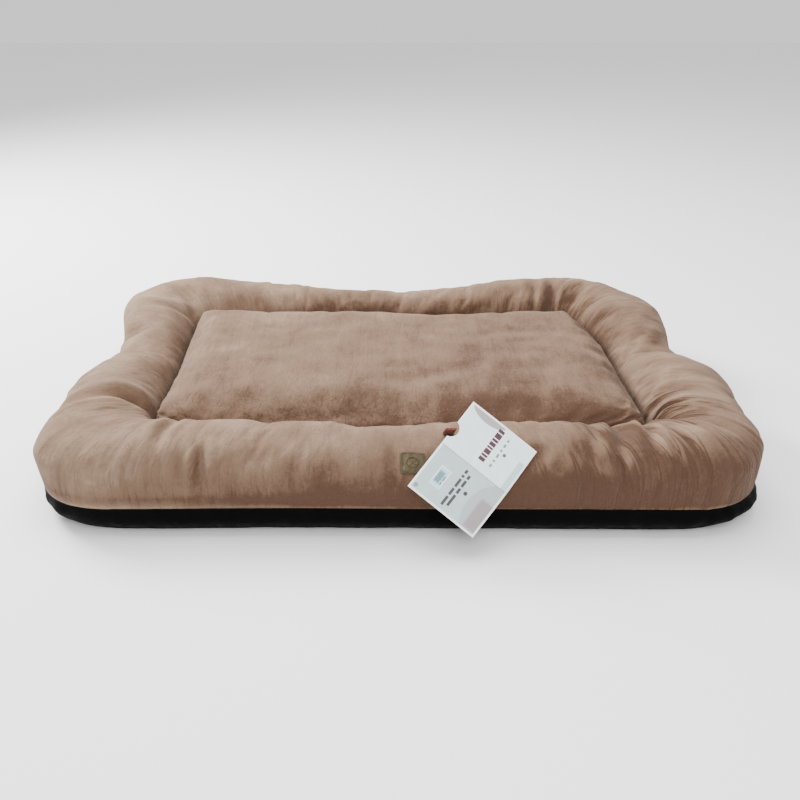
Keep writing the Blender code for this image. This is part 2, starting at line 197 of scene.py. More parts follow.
def painted_light_and_nap(points: np.ndarray, normals: np.ndarray) -> np.ndarray:
    """Painted light on the plush, with broad brushed patches of nap: cloth turned up and
    back towards the key light is painted light, cloth hanging down the front and the
    right gets painted shade.

    The slope of the cloth towards the key light's way gives most of it; a front face gets
    more painted shade the further right it is, and an upright one on the left gets a
    painted highlight again.

    Args:
        points: positions.
        normals: unit normals at them.

    Returns:
        Values about 0 to 1, one per point.
    """
    facing = normals @ np.array(PAINTED_LIGHT_WAY)
    front = np.clip(-normals[..., 1], 0, 1)
    across = np.clip(points[..., 0] / HALF_LENGTH, -1, 1)
    patches = Waves(71, 0.07, 0.20).at(points) + 0.6 * Waves(72, 0.030, 0.070).at(points)
    # painted light: lighter facing the key light, painted shade on front faces growing to the
    # right, a painted highlight on upright faces at the left; the patches are the nap's own tone
    nap_and_shade = 0.25 + 0.31 * facing - 0.26 * front * (0.32 + across) - 0.05 * across
    upright_highlight = front ** 2 * (0.02 + 0.34 * np.clip(-across, 0, 1))
    return nap_and_shade + upright_highlight + 0.060 * patches


def soften(values: np.ndarray, spread: float) -> np.ndarray:
    """Blur an array round a ring with a bell-shaped weight.

    Args:
        values: array whose first axis runs round the ring.
        spread: width of the bell, in steps.

    Returns:
        The blurred array.
    """
    reach = int(3 * spread) + 1
    offsets = range(-reach, reach + 1)
    weights = [math.exp(-0.5 * (offset / spread) ** 2) for offset in offsets]
    total = sum(weights)
    return sum(np.roll(values, offset, axis=0) * weight / total
               for offset, weight in zip(offsets, weights))


def grid_normals(grid: np.ndarray, ring: bool) -> np.ndarray:
    """Unit normals of a grid: the cross product of its two directions.

    Args:
        grid: points as columns x rows x 3.
        ring: whether the columns run round in a ring.

    Returns:
        One normal per point.
    """
    if ring:
        along = np.roll(grid, -1, axis=0) - np.roll(grid, 1, axis=0)
    else:
        along = np.gradient(grid, axis=0)
    normal = np.cross(along, np.gradient(grid, axis=1))
    return normal / np.maximum(np.linalg.norm(normal, axis=-1, keepdims=True), 1e-9)


@dataclass(frozen=True)
class Waves:
    """Soft unevenness: a sum of plane waves with seeded directions and phases."""

    seed: int
    shortest: float
    longest: float
    count: int = 40

    def at(self, points: np.ndarray) -> np.ndarray:
        """Height of the waves at points, about -1 to 1.

        Args:
            points: positions, any shape ending in 3.

        Returns:
            One height per point: the sum of sin(direction . point + phase).
        """
        rng = np.random.default_rng(self.seed)
        way = rng.normal(size=(self.count, 3))
        way /= np.linalg.norm(way, axis=1, keepdims=True)
        length = np.exp(rng.uniform(math.log(self.shortest), math.log(self.longest),
                                    self.count))
        phase = rng.uniform(0, TAU, self.count)
        turns = points @ (way * (TAU / length)[:, None]).T + phase
        return np.sin(turns).sum(axis=-1) / math.sqrt(self.count)


@dataclass(frozen=True)
class Fold:
    """A crease or a ridge in the plush, along a line seen from above."""

    start: tuple[float, float]
    end: tuple[float, float]
    depth: float
    width: float
    bow: float = 0.0
    fades: bool = False

    def height(self, points: np.ndarray) -> np.ndarray:
        """How far the fold moves the cloth outwards at each point.

        Across the line it is a bell sunk by depth, with soft swells on both sides; along
        the line it fades at both ends, or only at its far end.

        Args:
            points: positions, any shape ending in 3.

        Returns:
            One signed height per point.
        """
        start, end = np.array(self.start), np.array(self.end)
        run = end - start
        length = float(np.linalg.norm(run))
        along = ((points[..., :2] - start) @ run) / length ** 2
        side = ((points[..., 0] - start[0]) * run[1] - (points[..., 1] - start[1]) * run[0])
        side = side / length - self.bow * np.sin(math.pi * np.clip(along, 0, 1))
        beyond = np.maximum(np.maximum(-along, along - 1), 0) * length
        inside = np.clip(along, 0, 1)
        fade = (1 - inside) ** 0.8 if self.fades else np.sin(math.pi * inside) ** 0.7
        fade = np.maximum(fade, 0.25 * (not self.fades)) * np.exp(-(beyond / self.width) ** 2)
        bell = np.exp(-(side / self.width) ** 2)
        swell = np.exp(-((np.abs(side) - 2.0 * self.width) / self.width) ** 2)
        return -self.depth * fade * (bell - 0.35 * swell)


# ---------------------------------------------------------------- shader helper


class Shader:
    """Lays out the nodes of one material."""

    def __init__(self, name: str) -> None:
        """Start a material with a plain surface shader.

        Args:
            name: the material's name.
        """
        self.material = bpy.data.materials.new(name)
        self.material.use_nodes = True
        self.tree = self.material.node_tree
        self.surface = self.tree.nodes["Principled BSDF"]

    def put(self, kind: str, **inputs: object) -> bpy.types.Node:
        """Add a node and fill its inputs with numbers, colours or other outputs.

        Args:
            kind: the node's type.
            inputs: values or sockets by input name, with _ for a space.

        Returns:
            The node.
        """
        node = self.tree.nodes.new(kind)
        for key, value in inputs.items():
            self.feed(node.inputs[key.replace("_", " ")], value)
        return node

    def feed(self, socket: bpy.types.NodeSocket, value: object) -> None:
        """Link a socket to an output, or set its value."""
        if isinstance(value, bpy.types.NodeSocket):
            self.tree.links.new(value, socket)
        else:
            socket.default_value = value

    def place(self, scale: tuple[float, float, float] = (1, 1, 1),
              turn: float = 0.0) -> bpy.types.NodeSocket:
        """Object coordinates, stretched and turned about Z.

        Args:
            scale: how much the coordinates are stretched along each axis.
            turn: angle about Z, in radians.

        Returns:
            The vector output.
        """
        where = self.tree.nodes.new("ShaderNodeTexCoord").outputs["Object"]
        mapping = self.put("ShaderNodeMapping", Vector=where, Scale=scale,
                           Rotation=(0, 0, turn))
        return mapping.outputs["Vector"]

    def noise(self, scale: float, detail: float = 3.0, rough: float = 0.5,
              bend: float = 0.0, where: object = None) -> bpy.types.NodeSocket:
        """Cloudy noise.

        Args:
            scale: clouds per metre.
            detail: number of finer layers.
            rough: strength of the finer layers.
            bend: how much the clouds are twisted.
            where: vector output to read, or None for object coordinates.

        Returns:
            The noise from 0 to 1.
        """
        node = self.put("ShaderNodeTexNoise", Scale=scale, Detail=detail, Roughness=rough,
                        Distortion=bend, Vector=self.place() if where is None else where)
        return node.outputs["Fac"]

    def sums(self, operation: str, first: object, second: object = 0.0,
             third: object = 0.0) -> bpy.types.NodeSocket:
        """One arithmetic step on up to three numbers."""
        node = self.tree.nodes.new("ShaderNodeMath")
        node.operation = operation
        for socket, value in zip(node.inputs, (first, second, third)):
            self.feed(socket, value)
        return node.outputs[0]

    def spread(self, value: object, low: float, high: float, to_low: float = 0.0,
               to_high: float = 1.0) -> bpy.types.NodeSocket:
        """Stretch a number from one range to another, smoothly and within it."""
        node = self.tree.nodes.new("ShaderNodeMapRange")
        node.interpolation_type = "SMOOTHSTEP"
        for socket, item in zip(node.inputs, (value, low, high, to_low, to_high)):
            self.feed(socket, item)
        return node.outputs[0]

    def blend(self, share: object, first: object, second: object,
              how: str = "MIX") -> bpy.types.NodeSocket:
        """Mix two colours.

        Args:
            share: 0 for the first colour, 1 for the second.
            first: colour or output.
            second: colour or output.
            how: blend type.

        Returns:
            The mixed colour.
        """
        node = self.tree.nodes.new("ShaderNodeMix")
        node.data_type = "RGBA"
        node.blend_type = how
        for number, value in ((0, share), (6, first), (7, second)):
            if isinstance(value, tuple) and len(value) == 3:
                value = (*value, 1.0)
            self.feed(node.inputs[number], value)
        return node.outputs[2]

    def relief(self, height: object, depth: float, strength: float = 1.0,
               under: object = None) -> bpy.types.NodeSocket:
        """Bump from a height.

        Args:
            height: the height's output.
            depth: what a height of 1 stands for, in metres.
            strength: share of the bump that shows.
            under: an earlier bump to add to.

        Returns:
            The normal output.
        """
        node = self.put("ShaderNodeBump", Height=height, Distance=depth, Strength=strength)
        if under is not None:
            self.feed(node.inputs["Normal"], under)
        return node.outputs["Normal"]

    def finish(self, colour: object, roughness: object, normal: object = None,
               **fixed: object) -> bpy.types.Material:
        """Connect the results to the surface shader.

        Args:
            colour: base colour.
            roughness: roughness.
            normal: bump output, or None.
            fixed: constant values by input name, with _ for a space.

        Returns:
            The material.
        """
        if isinstance(colour, tuple) and len(colour) == 3:
            colour = (*colour, 1.0)
        self.feed(self.surface.inputs["Base Color"], colour)
        self.feed(self.surface.inputs["Roughness"], roughness)
        if normal is not None:
            self.feed(self.surface.inputs["Normal"], normal)
        for key, value in fixed.items():
            self.surface.inputs[key.replace("_", " ")].default_value = value
        return self.material


# ---------------------------------------------------------------- finishes


@dataclass(frozen=True)
class PlushFinish:
    """Short-pile plush whose nap lies in light and dark clouds and brushed streaks."""

    light: tuple[float, float, float] = (0.242, 0.168, 0.116)
    middle: tuple[float, float, float] = (0.142, 0.086, 0.056)
    dark: tuple[float, float, float] = (0.064, 0.030, 0.018)
    cloud: float = 4.0
    streak: float = 15.0
    fibre: float = 1500.0
    depth: float = 0.0012

    def material(self, name: str) -> bpy.types.Material:
        """The stored nap with its painted light and shade picks between three tones, clouds and
        streaks shift it, thin long creases run where the cloth is gathered and are darkened
        there as painted shade, and fine fibres break up the surface.

        Args:
            name: the material's name.

        Returns:
            The plush material.
        """
        shader = Shader(name)
        shaded_nap_node, drawn, cloth = (shader.tree.nodes.new("ShaderNodeAttribute") for _ in range(3))
        shaded_nap_node.attribute_name, drawn.attribute_name, cloth.attribute_name = (
            "nap_and_shade", "gathers", "cloth")
        cloth = cloth.outputs["Vector"]
        clouds = shader.noise(self.cloud, 5.0, 0.60, 0.5)
        brushed = shader.noise(self.streak, 6.0, 0.70, 0.9)
        strokes, hairs = (shader.noise(scale, 5.0, 0.68, bend, shader.put(
            "ShaderNodeMapping", Vector=cloth, Scale=(1, 1, long)).outputs["Vector"])
            for scale, bend, long in ((70.0, 0.5, 0.22), (240.0, 0.4, 0.30)))
        crushed = shader.noise(self.streak * 7.0, 4.0, 0.68, 1.6)
        # the stored nap carries painted light and shade into the tone
        tone = shaded_nap_node.outputs["Fac"]
        for layer, amount in ((brushed, 0.56), (clouds, 0.40), (strokes, 0.34),
                              (hairs, 0.22), (crushed, 0.30)):
            tone = shader.sums("MULTIPLY_ADD", shader.sums("SUBTRACT", layer, 0.5), amount,
                               tone)
        pleat = shader.noise(75.0, 2.0, 0.55, 0.3, shader.put(
            "ShaderNodeMapping", Vector=cloth, Scale=(1, 1, 0.10)).outputs["Vector"])
        pleat = shader.spread(shader.sums("ABSOLUTE", shader.sums("SUBTRACT", pleat, 0.5)),
                              0.0, 0.045, 1.0, 0.0)
        pleat = shader.sums("MULTIPLY", pleat, drawn.outputs["Fac"])
        # painted shade: the colour is darkened along the pleats where the cloth is gathered
        tone = shader.sums("MULTIPLY_ADD", pleat, -0.30, tone)
        colour = shader.blend(shader.spread(tone, 0.05, 0.42), self.dark, self.middle)
        colour = shader.blend(shader.spread(tone, 0.36, 0.78), colour, self.light)
        marks = shader.sums("MULTIPLY", shader.spread(crushed, 0.57, 0.68),
                            shader.spread(brushed, 0.47, 0.60))
        colour = shader.blend(shader.sums("MULTIPLY", marks, 0.45), colour, self.dark)
        fine = shader.noise(self.fibre, 2.0, 0.7)
        colour = shader.blend(shader.spread(fine, 0.3, 0.75, 0.0, 0.18), colour, self.light)
        normal = shader.relief(shader.noise(self.fibre * 0.45, 3.0, 0.7), self.depth, 0.5)
        normal = shader.relief(shader.sums("ADD", crushed, hairs), self.depth * 1.6, 0.45,
                               normal)
        normal = shader.relief(strokes, self.depth * 4.0, 0.40, normal)
        normal = shader.relief(pleat, -self.depth, 0.60, normal)
        return shader.finish(colour, 0.92, normal, Sheen_Weight=0.15, Sheen_Roughness=0.45,
                             Sheen_Tint=(0.95, 0.76, 0.62, 1.0), Specular_IOR_Level=0.12)


@dataclass(frozen=True)
class WovenFinish:
    """Plain-weave cloth seen as fine crossing threads."""

    thread: tuple[float, float, float] = (0.0016, 0.0015, 0.0015)
    gap: tuple[float, float, float] = (0.0006, 0.0006, 0.0006)
    pitch: float = 0.0011
    depth: float = 0.0004
    roughness: float = 0.62

    def material(self, name: str) -> bpy.types.Material:
        """Two crossing sets of waves make warp and weft; clouds vary the shade a little.

        Args:
            name: the material's name.

        Returns:
            The woven material.
        """
        shader = Shader(name)
        turns = TAU / self.pitch
        where = shader.put("ShaderNodeSeparateXYZ", Vector=shader.place())
        warp = shader.sums("SINE", shader.sums("MULTIPLY", where.outputs[0], turns))
        rising = shader.sums("ADD", where.outputs[1], where.outputs[2])
        weft = shader.sums("SINE", shader.sums("MULTIPLY", rising, turns))
        weave = shader.sums("MULTIPLY_ADD", shader.sums("MULTIPLY", warp, weft), 0.5, 0.5)
        slub = shader.noise(60.0, 4.0, 0.6, 0.5)
        colour = shader.blend(weave, self.gap, self.thread)
        colour = shader.blend(shader.spread(slub, 0.4, 0.8, 0.0, 0.5), colour,
                              tuple(1.8 * part for part in self.thread))
        rough = shader.spread(slub, 0.3, 0.7, self.roughness - 0.08, self.roughness + 0.12)
        normal = shader.relief(weave, self.depth, 0.7)
        normal = shader.relief(slub, self.depth * 4, 0.4, normal)
        return shader.finish(colour, rough, normal, Specular_IOR_Level=0.04)


@dataclass(frozen=True)
class FibreFinish:
    """Loose white stuffing."""

    light: tuple[float, float, float] = (0.86, 0.86, 0.84)
    dark: tuple[float, float, float] = (0.62, 0.62, 0.60)

    def material(self, name: str) -> bpy.types.Material:
        """Stretched noise for strands over softer clumps.

        Args:
            name: the material's name.

        Returns:
            The fibre material.
        """
        shader = Shader(name)
        strands = shader.noise(420.0, 4.0, 0.7, 2.5, shader.place((1.0, 0.25, 1.0), 0.7))
        clumps = shader.noise(45.0, 3.0)
        colour = shader.blend(shader.sums("MULTIPLY", strands, clumps), self.dark, self.light)
        normal = shader.relief(strands, 0.002, 0.8)
        return shader.finish(colour, 1.0, normal, Sheen_Weight=0.3)


@dataclass(frozen=True)
class ThreadFinish:
    """Twisted sewing thread."""

    colour: tuple[float, float, float] = (0.11, 0.072, 0.050)
    pitch: float = 0.0009

    def material(self, name: str) -> bpy.types.Material:
        """Slanting waves for the twist, with painted shade in the grooves.

        Args:
            name: the material's name.

        Returns:
            The thread material.
        """
        shader = Shader(name)
        where = shader.put("ShaderNodeSeparateXYZ", Vector=shader.place())
        slant = shader.sums("ADD", where.outputs[0],
                            shader.sums("ADD", where.outputs[1], where.outputs[2]))
        twist = shader.sums("MULTIPLY_ADD", shader.sums(
            "SINE", shader.sums("MULTIPLY", slant, TAU / self.pitch)), 0.5, 0.5)
        # painted shade: the grooves of the twist are painted darker
        dark = tuple(0.45 * part for part in self.colour)
        colour = shader.blend(twist, dark, self.colour)
        return shader.finish(colour, 0.7, shader.relief(twist, 0.0002, 0.8), Sheen_Weight=0.2)


@dataclass(frozen=True)
class LeatherFinish:
    """Small pressed patch of olive-tan imitation leather."""

    colour: tuple[float, float, float] = (0.090, 0.067, 0.030)
    dark: tuple[float, float, float] = (0.030, 0.023, 0.011)

    def material(self, name: str) -> bpy.types.Material:
        """Pebbled grain from cells, with wear on the raised parts.

        Args:
            name: the material's name.

        Returns:
            The leather material.
        """
        shader = Shader(name)
        press = shader.tree.nodes.new("ShaderNodeAttribute")
        press.attribute_name = "press"
        grain = shader.put("ShaderNodeTexVoronoi", Scale=1300.0, Vector=shader.place())
        cells = shader.spread(grain.outputs["Distance"], 0.1, 0.7)
        wear = shader.noise(160.0, 4.0, 0.6, 0.4)
        colour = shader.blend(shader.spread(wear, 0.40, 0.66, 0.0, 0.35), self.colour,
                              self.dark)
        colour = shader.blend(shader.sums("MULTIPLY", cells, 0.20), colour, self.dark)
        colour = shader.blend(press.outputs["Fac"], colour, self.dark)
        normal = shader.relief(cells, 0.0003, 0.5)
        return shader.finish(colour, shader.spread(wear, 0.3, 0.7, 0.5, 0.7), normal,
                             Specular_IOR_Level=0.2)


@dataclass(frozen=True)
class SatinFinish:
    """Narrow woven satin with fine ribs along it."""

    colour: tuple[float, float, float] = (0.20, 0.052, 0.033)
    pitch: float = 0.0007

    def material(self, name: str) -> bpy.types.Material:
        """Fine ribs across the ribbon in waves of its height and depth, and a soft shine.

        Args:
            name: the material's name.

        Returns:
            The satin material.
        """
        shader = Shader(name)
        where = shader.put("ShaderNodeSeparateXYZ", Vector=shader.place())
        level = shader.sums("ADD", where.outputs[1], where.outputs[2])
        ribs = shader.sums("MULTIPLY_ADD", shader.sums(
            "SINE", shader.sums("MULTIPLY", level, TAU / self.pitch)), 0.5, 0.5)
        shade = shader.noise(120.0, 3.0)
        colour = shader.blend(shader.sums("MULTIPLY", ribs, shade), self.colour,
                              tuple(0.6 * part for part in self.colour))
        return shader.finish(colour, 0.50, shader.relief(ribs, 0.0002, 0.6), Sheen_Weight=0.05,
                             Specular_IOR_Level=0.25)


@dataclass(frozen=True)
class Mark:
    """A plain printed shape on a card: a bar, or a round spot."""

    across: float
    along: float
    half_across: float
    half_along: float
    colour: tuple[float, float, float]
    strength: float = 1.0
    round: bool = False
    blur: float = 0.0002


@dataclass(frozen=True)
class PrintFinish:
    """Coated card or label paper with plain printed marks and a white margin."""

    ground: tuple[float, float, float]
    origin: tuple[float, float]
    marks: tuple[Mark, ...]
    inside: Mark
    unit: float = SHEET_UNIT
    roughness: float = 0.38

    def material(self, name: str) -> bpy.types.Material:
        """Each mark is laid over the last: its share is 1 inside its outline.

        A bar's outline is where both distances from its middle are within its half sizes;
        a spot's is where the scaled distance from its middle is within 1.

        Args:
            name: the material's name.

        Returns:
            The printed material.
        """
        shader = Shader(name)
        chart = shader.tree.nodes.new("ShaderNodeUVMap")
        chart.uv_map = "UVMap"
        flat = shader.put("ShaderNodeSeparateXYZ", Vector=chart.outputs["UV"])
        place = [shader.sums("MULTIPLY_ADD", flat.outputs[axis], self.unit, self.origin[axis])
                 for axis in (0, 1)]
        mottle = shader.noise(90.0, 4.0, 0.55)
        ground = tuple(0.93 * part for part in self.ground)
        colour = shader.blend(shader.spread(mottle, 0.35, 0.7), ground, self.ground)
        for mark in self.marks:
            share = shader.sums("MULTIPLY", self.cover(shader, place, mark), mark.strength)
            colour = shader.blend(share, colour, mark.colour)
        colour = shader.blend(self.cover(shader, place, self.inside), (0.93, 0.95, 0.95),
                              colour)
        grain = shader.noise(2500.0, 2.0)
        normal = shader.relief(grain, 0.0001, 0.25)
        return shader.finish(colour, self.roughness, normal, Coat_Weight=0.12,
                             Coat_Roughness=0.25)

    @staticmethod
    def cover(shader: Shader, place: list, mark: Mark) -> bpy.types.NodeSocket:
        """Share of a mark at the shaded point.

        Args:
            shader: the material's nodes.
            place: outputs of the two coordinates on the card, in metres.
            mark: the mark.

        Returns:
            An output that is 1 inside the mark and 0 outside.
        """
        away = [shader.sums("ABSOLUTE", shader.sums("SUBTRACT", place[axis], centre))
                for axis, centre in ((0, mark.across), (1, mark.along))]
        halves = (mark.half_across, mark.half_along)
        if mark.round:
            squares = [shader.sums("POWER", shader.sums("DIVIDE", item, half), 2.0)
                       for item, half in zip(away, halves)]
            edge = mark.blur / min(halves)
            return shader.spread(shader.sums("ADD", *squares), 1 + edge, 1 - edge)
        parts = [shader.spread(item, half + mark.blur, half - mark.blur)
                 for item, half in zip(away, halves)]
        return shader.sums("MULTIPLY", *parts)


# ---------------------------------------------------------------- plan of the bed


@dataclass(frozen=True)
class BedPlan:
    """Lines of the bed seen from above, and how the filled bed settles on the floor."""

    length: float = 2 * HALF_LENGTH
    width: float = 0.615
    lobe_radius: float = 0.112
    side_waist: float = 0.030
    waist_place: float = 0.085
    waist_reach: float = 0.085
    front_waist: float = -0.001
    back_waist: float = 0.010
    pad_length: float = 0.644
    pad_width: float = 0.376
    pad_bow: float = 0.020
    pad_corner: float = 0.034
    lean: tuple[float, float] = (-0.034, -0.010)
    pulls: tuple[tuple[float, ...], ...] = (
        (0.322, 0.188, 0.075, -0.030, 0.004),
        (0.425, 0.305, 0.085, -0.042, -0.018),
        (0.440, 0.215, 0.045, -0.024, 0.0),
        (0.445, 0.105, 0.040, 0.009, 0.0),
        (0.450, 0.030, 0.045, -0.020, 0.0),
        (-0.410, -0.280, 0.060, -0.006, -0.008),
        (0.455, -0.215, 0.070, -0.009, 0.0),
        (-0.300, -0.310, 0.110, 0.0, -0.004),
        (-0.445, 0.010, 0.040, 0.010, 0.0),
        (-0.445, 0.085, 0.035, -0.008, 0.0),
        (-0.440, -0.090, 0.050, -0.005, 0.0),
        (-0.430, -0.020, 0.075, 0.009, 0.0),
        (0.445, -0.070, 0.055, 0.011, 0.0),
    )

    @staticmethod
    def places(steps: int, number: int) -> np.ndarray:
        """Places along a side from 1 to -1, on a long side closer together at its ends.

        Args:
            steps: how many places.
            number: which side, 0 for the back and then anticlockwise.

        Returns:
            The places.
        """
        even = 1 - 2 * np.arange(steps) / steps
        return even + 0.09 * np.sin(math.pi * even) * (number % 2 == 0)

    def line(self, columns: tuple[int, int, int], inset: float, inner: bool) -> np.ndarray:
        """A closed line round the bed, anticlockwise from the right end of the back.

        Each corner is a quarter circle; the long sides are drawn in by a raised cosine,
        and the short ones by a bell behind their middle.

        Args:
            columns: points on a corner, a long side and a short side.
            inset: how far inside the seam, or the channel, the line runs.
            inner: whether it follows the channel round the pad, not the outer seam.

        Returns:
            Points as columns x 2, before the bed has settled.
        """
        half = np.array([self.pad_length, self.pad_width] if inner
                        else [self.length, self.width]) / 2
        radius = self.pad_corner if inner else self.lobe_radius
        draws = (-self.pad_bow, 0.0, 0.0, 0.0) if inner else (
            self.back_waist, self.side_waist, self.front_waist, self.side_waist)
        pieces = []
        for number, corner in enumerate(Corner):
            start = number * math.pi / 2
            angle = start + np.arange(columns[0]) / columns[0] * math.pi / 2
            turn = np.stack([np.cos(angle), np.sin(angle)], axis=1)
            pieces.append(np.array(corner.value) * (half - radius) + (radius - inset) * turn)
            on_long = number % 2 == 0
            steps = columns[1 if on_long else 2]
            spot = self.places(steps, number)
            run = spot * (half[0 if on_long else 1] - radius)
            bell = (1 + np.cos(math.pi * spot)) / 2
            if not on_long:
                away = run * (1 if number == 1 else -1) - self.waist_place
                bell = np.exp(-(away / self.waist_reach) ** 2) * (1 - spot ** 6)
            out = half[1 if on_long else 0] - inset - draws[number] * bell
            across = start + math.pi / 2
            pieces.append(np.stack([out * math.cos(across) + run * math.sin(across),
                                    out * math.sin(across) - run * math.cos(across)], axis=1))
        return soften(np.concatenate(pieces), 2.0 if inner else 5.0)

    def lobes(self, columns: tuple[int, int, int]) -> np.ndarray:
        """How much each column belongs to a lobe: 1 at a corner, 0 in mid-side."""
        parts = []
        for number in range(4):
            steps = columns[1 if number % 2 == 0 else 2]
            spot = self.places(steps, number)
            parts += [np.ones(columns[0]), (1 - np.cos(math.pi * spot)) / 2]
        return soften(np.concatenate(parts), 4.0)

    def settle(self, points: np.ndarray) -> np.ndarray:
        """Move points as the soft bed has settled: leaning a little out of square, and
        pulled about near its corners by bells of given place, reach and movement.

        Args:
            points: positions, any shape ending in 3.

        Returns:
            The moved positions.
        """
        moved = points.copy()
        moved[..., 0] += self.lean[0] * points[..., 1]
        moved[..., 1] += self.lean[1] * points[..., 0]
        for place_x, place_y, reach, move_x, move_y in self.pulls:
            away = np.hypot(points[..., 0] - place_x, points[..., 1] - place_y)
            share = np.exp(-(away / reach) ** 2)
            moved[..., 0] += move_x * share
            moved[..., 1] += move_y * share
        return moved


@dataclass(frozen=True)
class Inflation:
    """Cloth simulation that blows up a sewn shape between its pinned seams."""

    pressure: float = 4.0
    slack: float = 0.02
    frames: int = 20
    cap: float = 0.010
    mass: float = 0.3
    stretch: float = 12.0
    bending: float = 0.25

    def blow(self, piece: bpy.types.Object, loose: np.ndarray) -> np.ndarray:
        """Run the cloth with its seams held and no gravity, and cap how far it moves.

        Args:
            piece: the stuffed shape; it keeps its mesh and loses the cloth again.
            loose: for each vertex, 0 where it is sewn down and 1 where it is free.

        Returns:
            The new vertex positions.
        """
        count = len(piece.data.vertices)
        before = np.empty(count * 3, dtype=np.float32)
        piece.data.vertices.foreach_get("co", before)
        before = before.reshape(-1, 3).astype(float)
        group = piece.vertex_groups.new(name="sewn")
        for level in np.unique(np.round(1 - loose, 2)):
            picked = np.flatnonzero(np.round(1 - loose, 2) == level)
            group.add(picked.tolist(), float(level), "REPLACE")
        cloth = piece.modifiers.new("Cloth", "CLOTH")
        cloth.settings.quality = 6
        cloth.settings.mass = self.mass
        cloth.settings.tension_stiffness = cloth.settings.compression_stiffness = self.stretch
        cloth.settings.bending_stiffness = self.bending
        cloth.settings.use_pressure = True
        cloth.settings.uniform_pressure_force = self.pressure
        cloth.settings.shrink_min = -self.slack
        cloth.settings.vertex_group_mass = group.name
        cloth.settings.effector_weights.gravity = 0.0
        cloth.point_cache.frame_start, cloth.point_cache.frame_end = 1, self.frames
        scene = bpy.context.scene
        for number in range(1, self.frames + 1):
            scene.frame_set(number)
        solved = piece.evaluated_get(bpy.context.evaluated_depsgraph_get()).data
        after = np.empty(count * 3, dtype=np.float32)
        solved.vertices.foreach_get("co", after)
        after = after.reshape(-1, 3).astype(float)
        piece.modifiers.remove(cloth)
        piece.vertex_groups.remove(group)
        scene.frame_set(1)
        move = after - before
        far = np.linalg.norm(move, axis=1, keepdims=True)
        LOG.info("%s swelled by %.1f mm at most, %.1f mm on average", piece.name,
                 1000 * far.max(), 1000 * far.mean())
        return before + move * self.cap / np.sqrt(self.cap ** 2 + far ** 2)


def attach(piece: bpy.types.Object, body: Body, slot: str, material: bpy.types.Material,
           *nodes: str) -> bpy.types.Object:
    """Dress a piece and tie it to its body, its finish and the parts it stands for.

    Args:
        piece: the finished piece.
        body: the body it moves with.
        slot: name of its finish; not used.
        material: its material.
        nodes: names of the frame's parts it stands for.

    Returns:
        The piece.
    """
    piece.data.materials.clear()
    piece.data.materials.append(material)
    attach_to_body(piece, body.value)
    if nodes:
        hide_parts(*nodes)
    LOG.info("built %s: %d faces, on %s", piece.name, len(piece.data.polygons), body.value)
    return piece


# ---------------------------------------------------------------- soft pieces


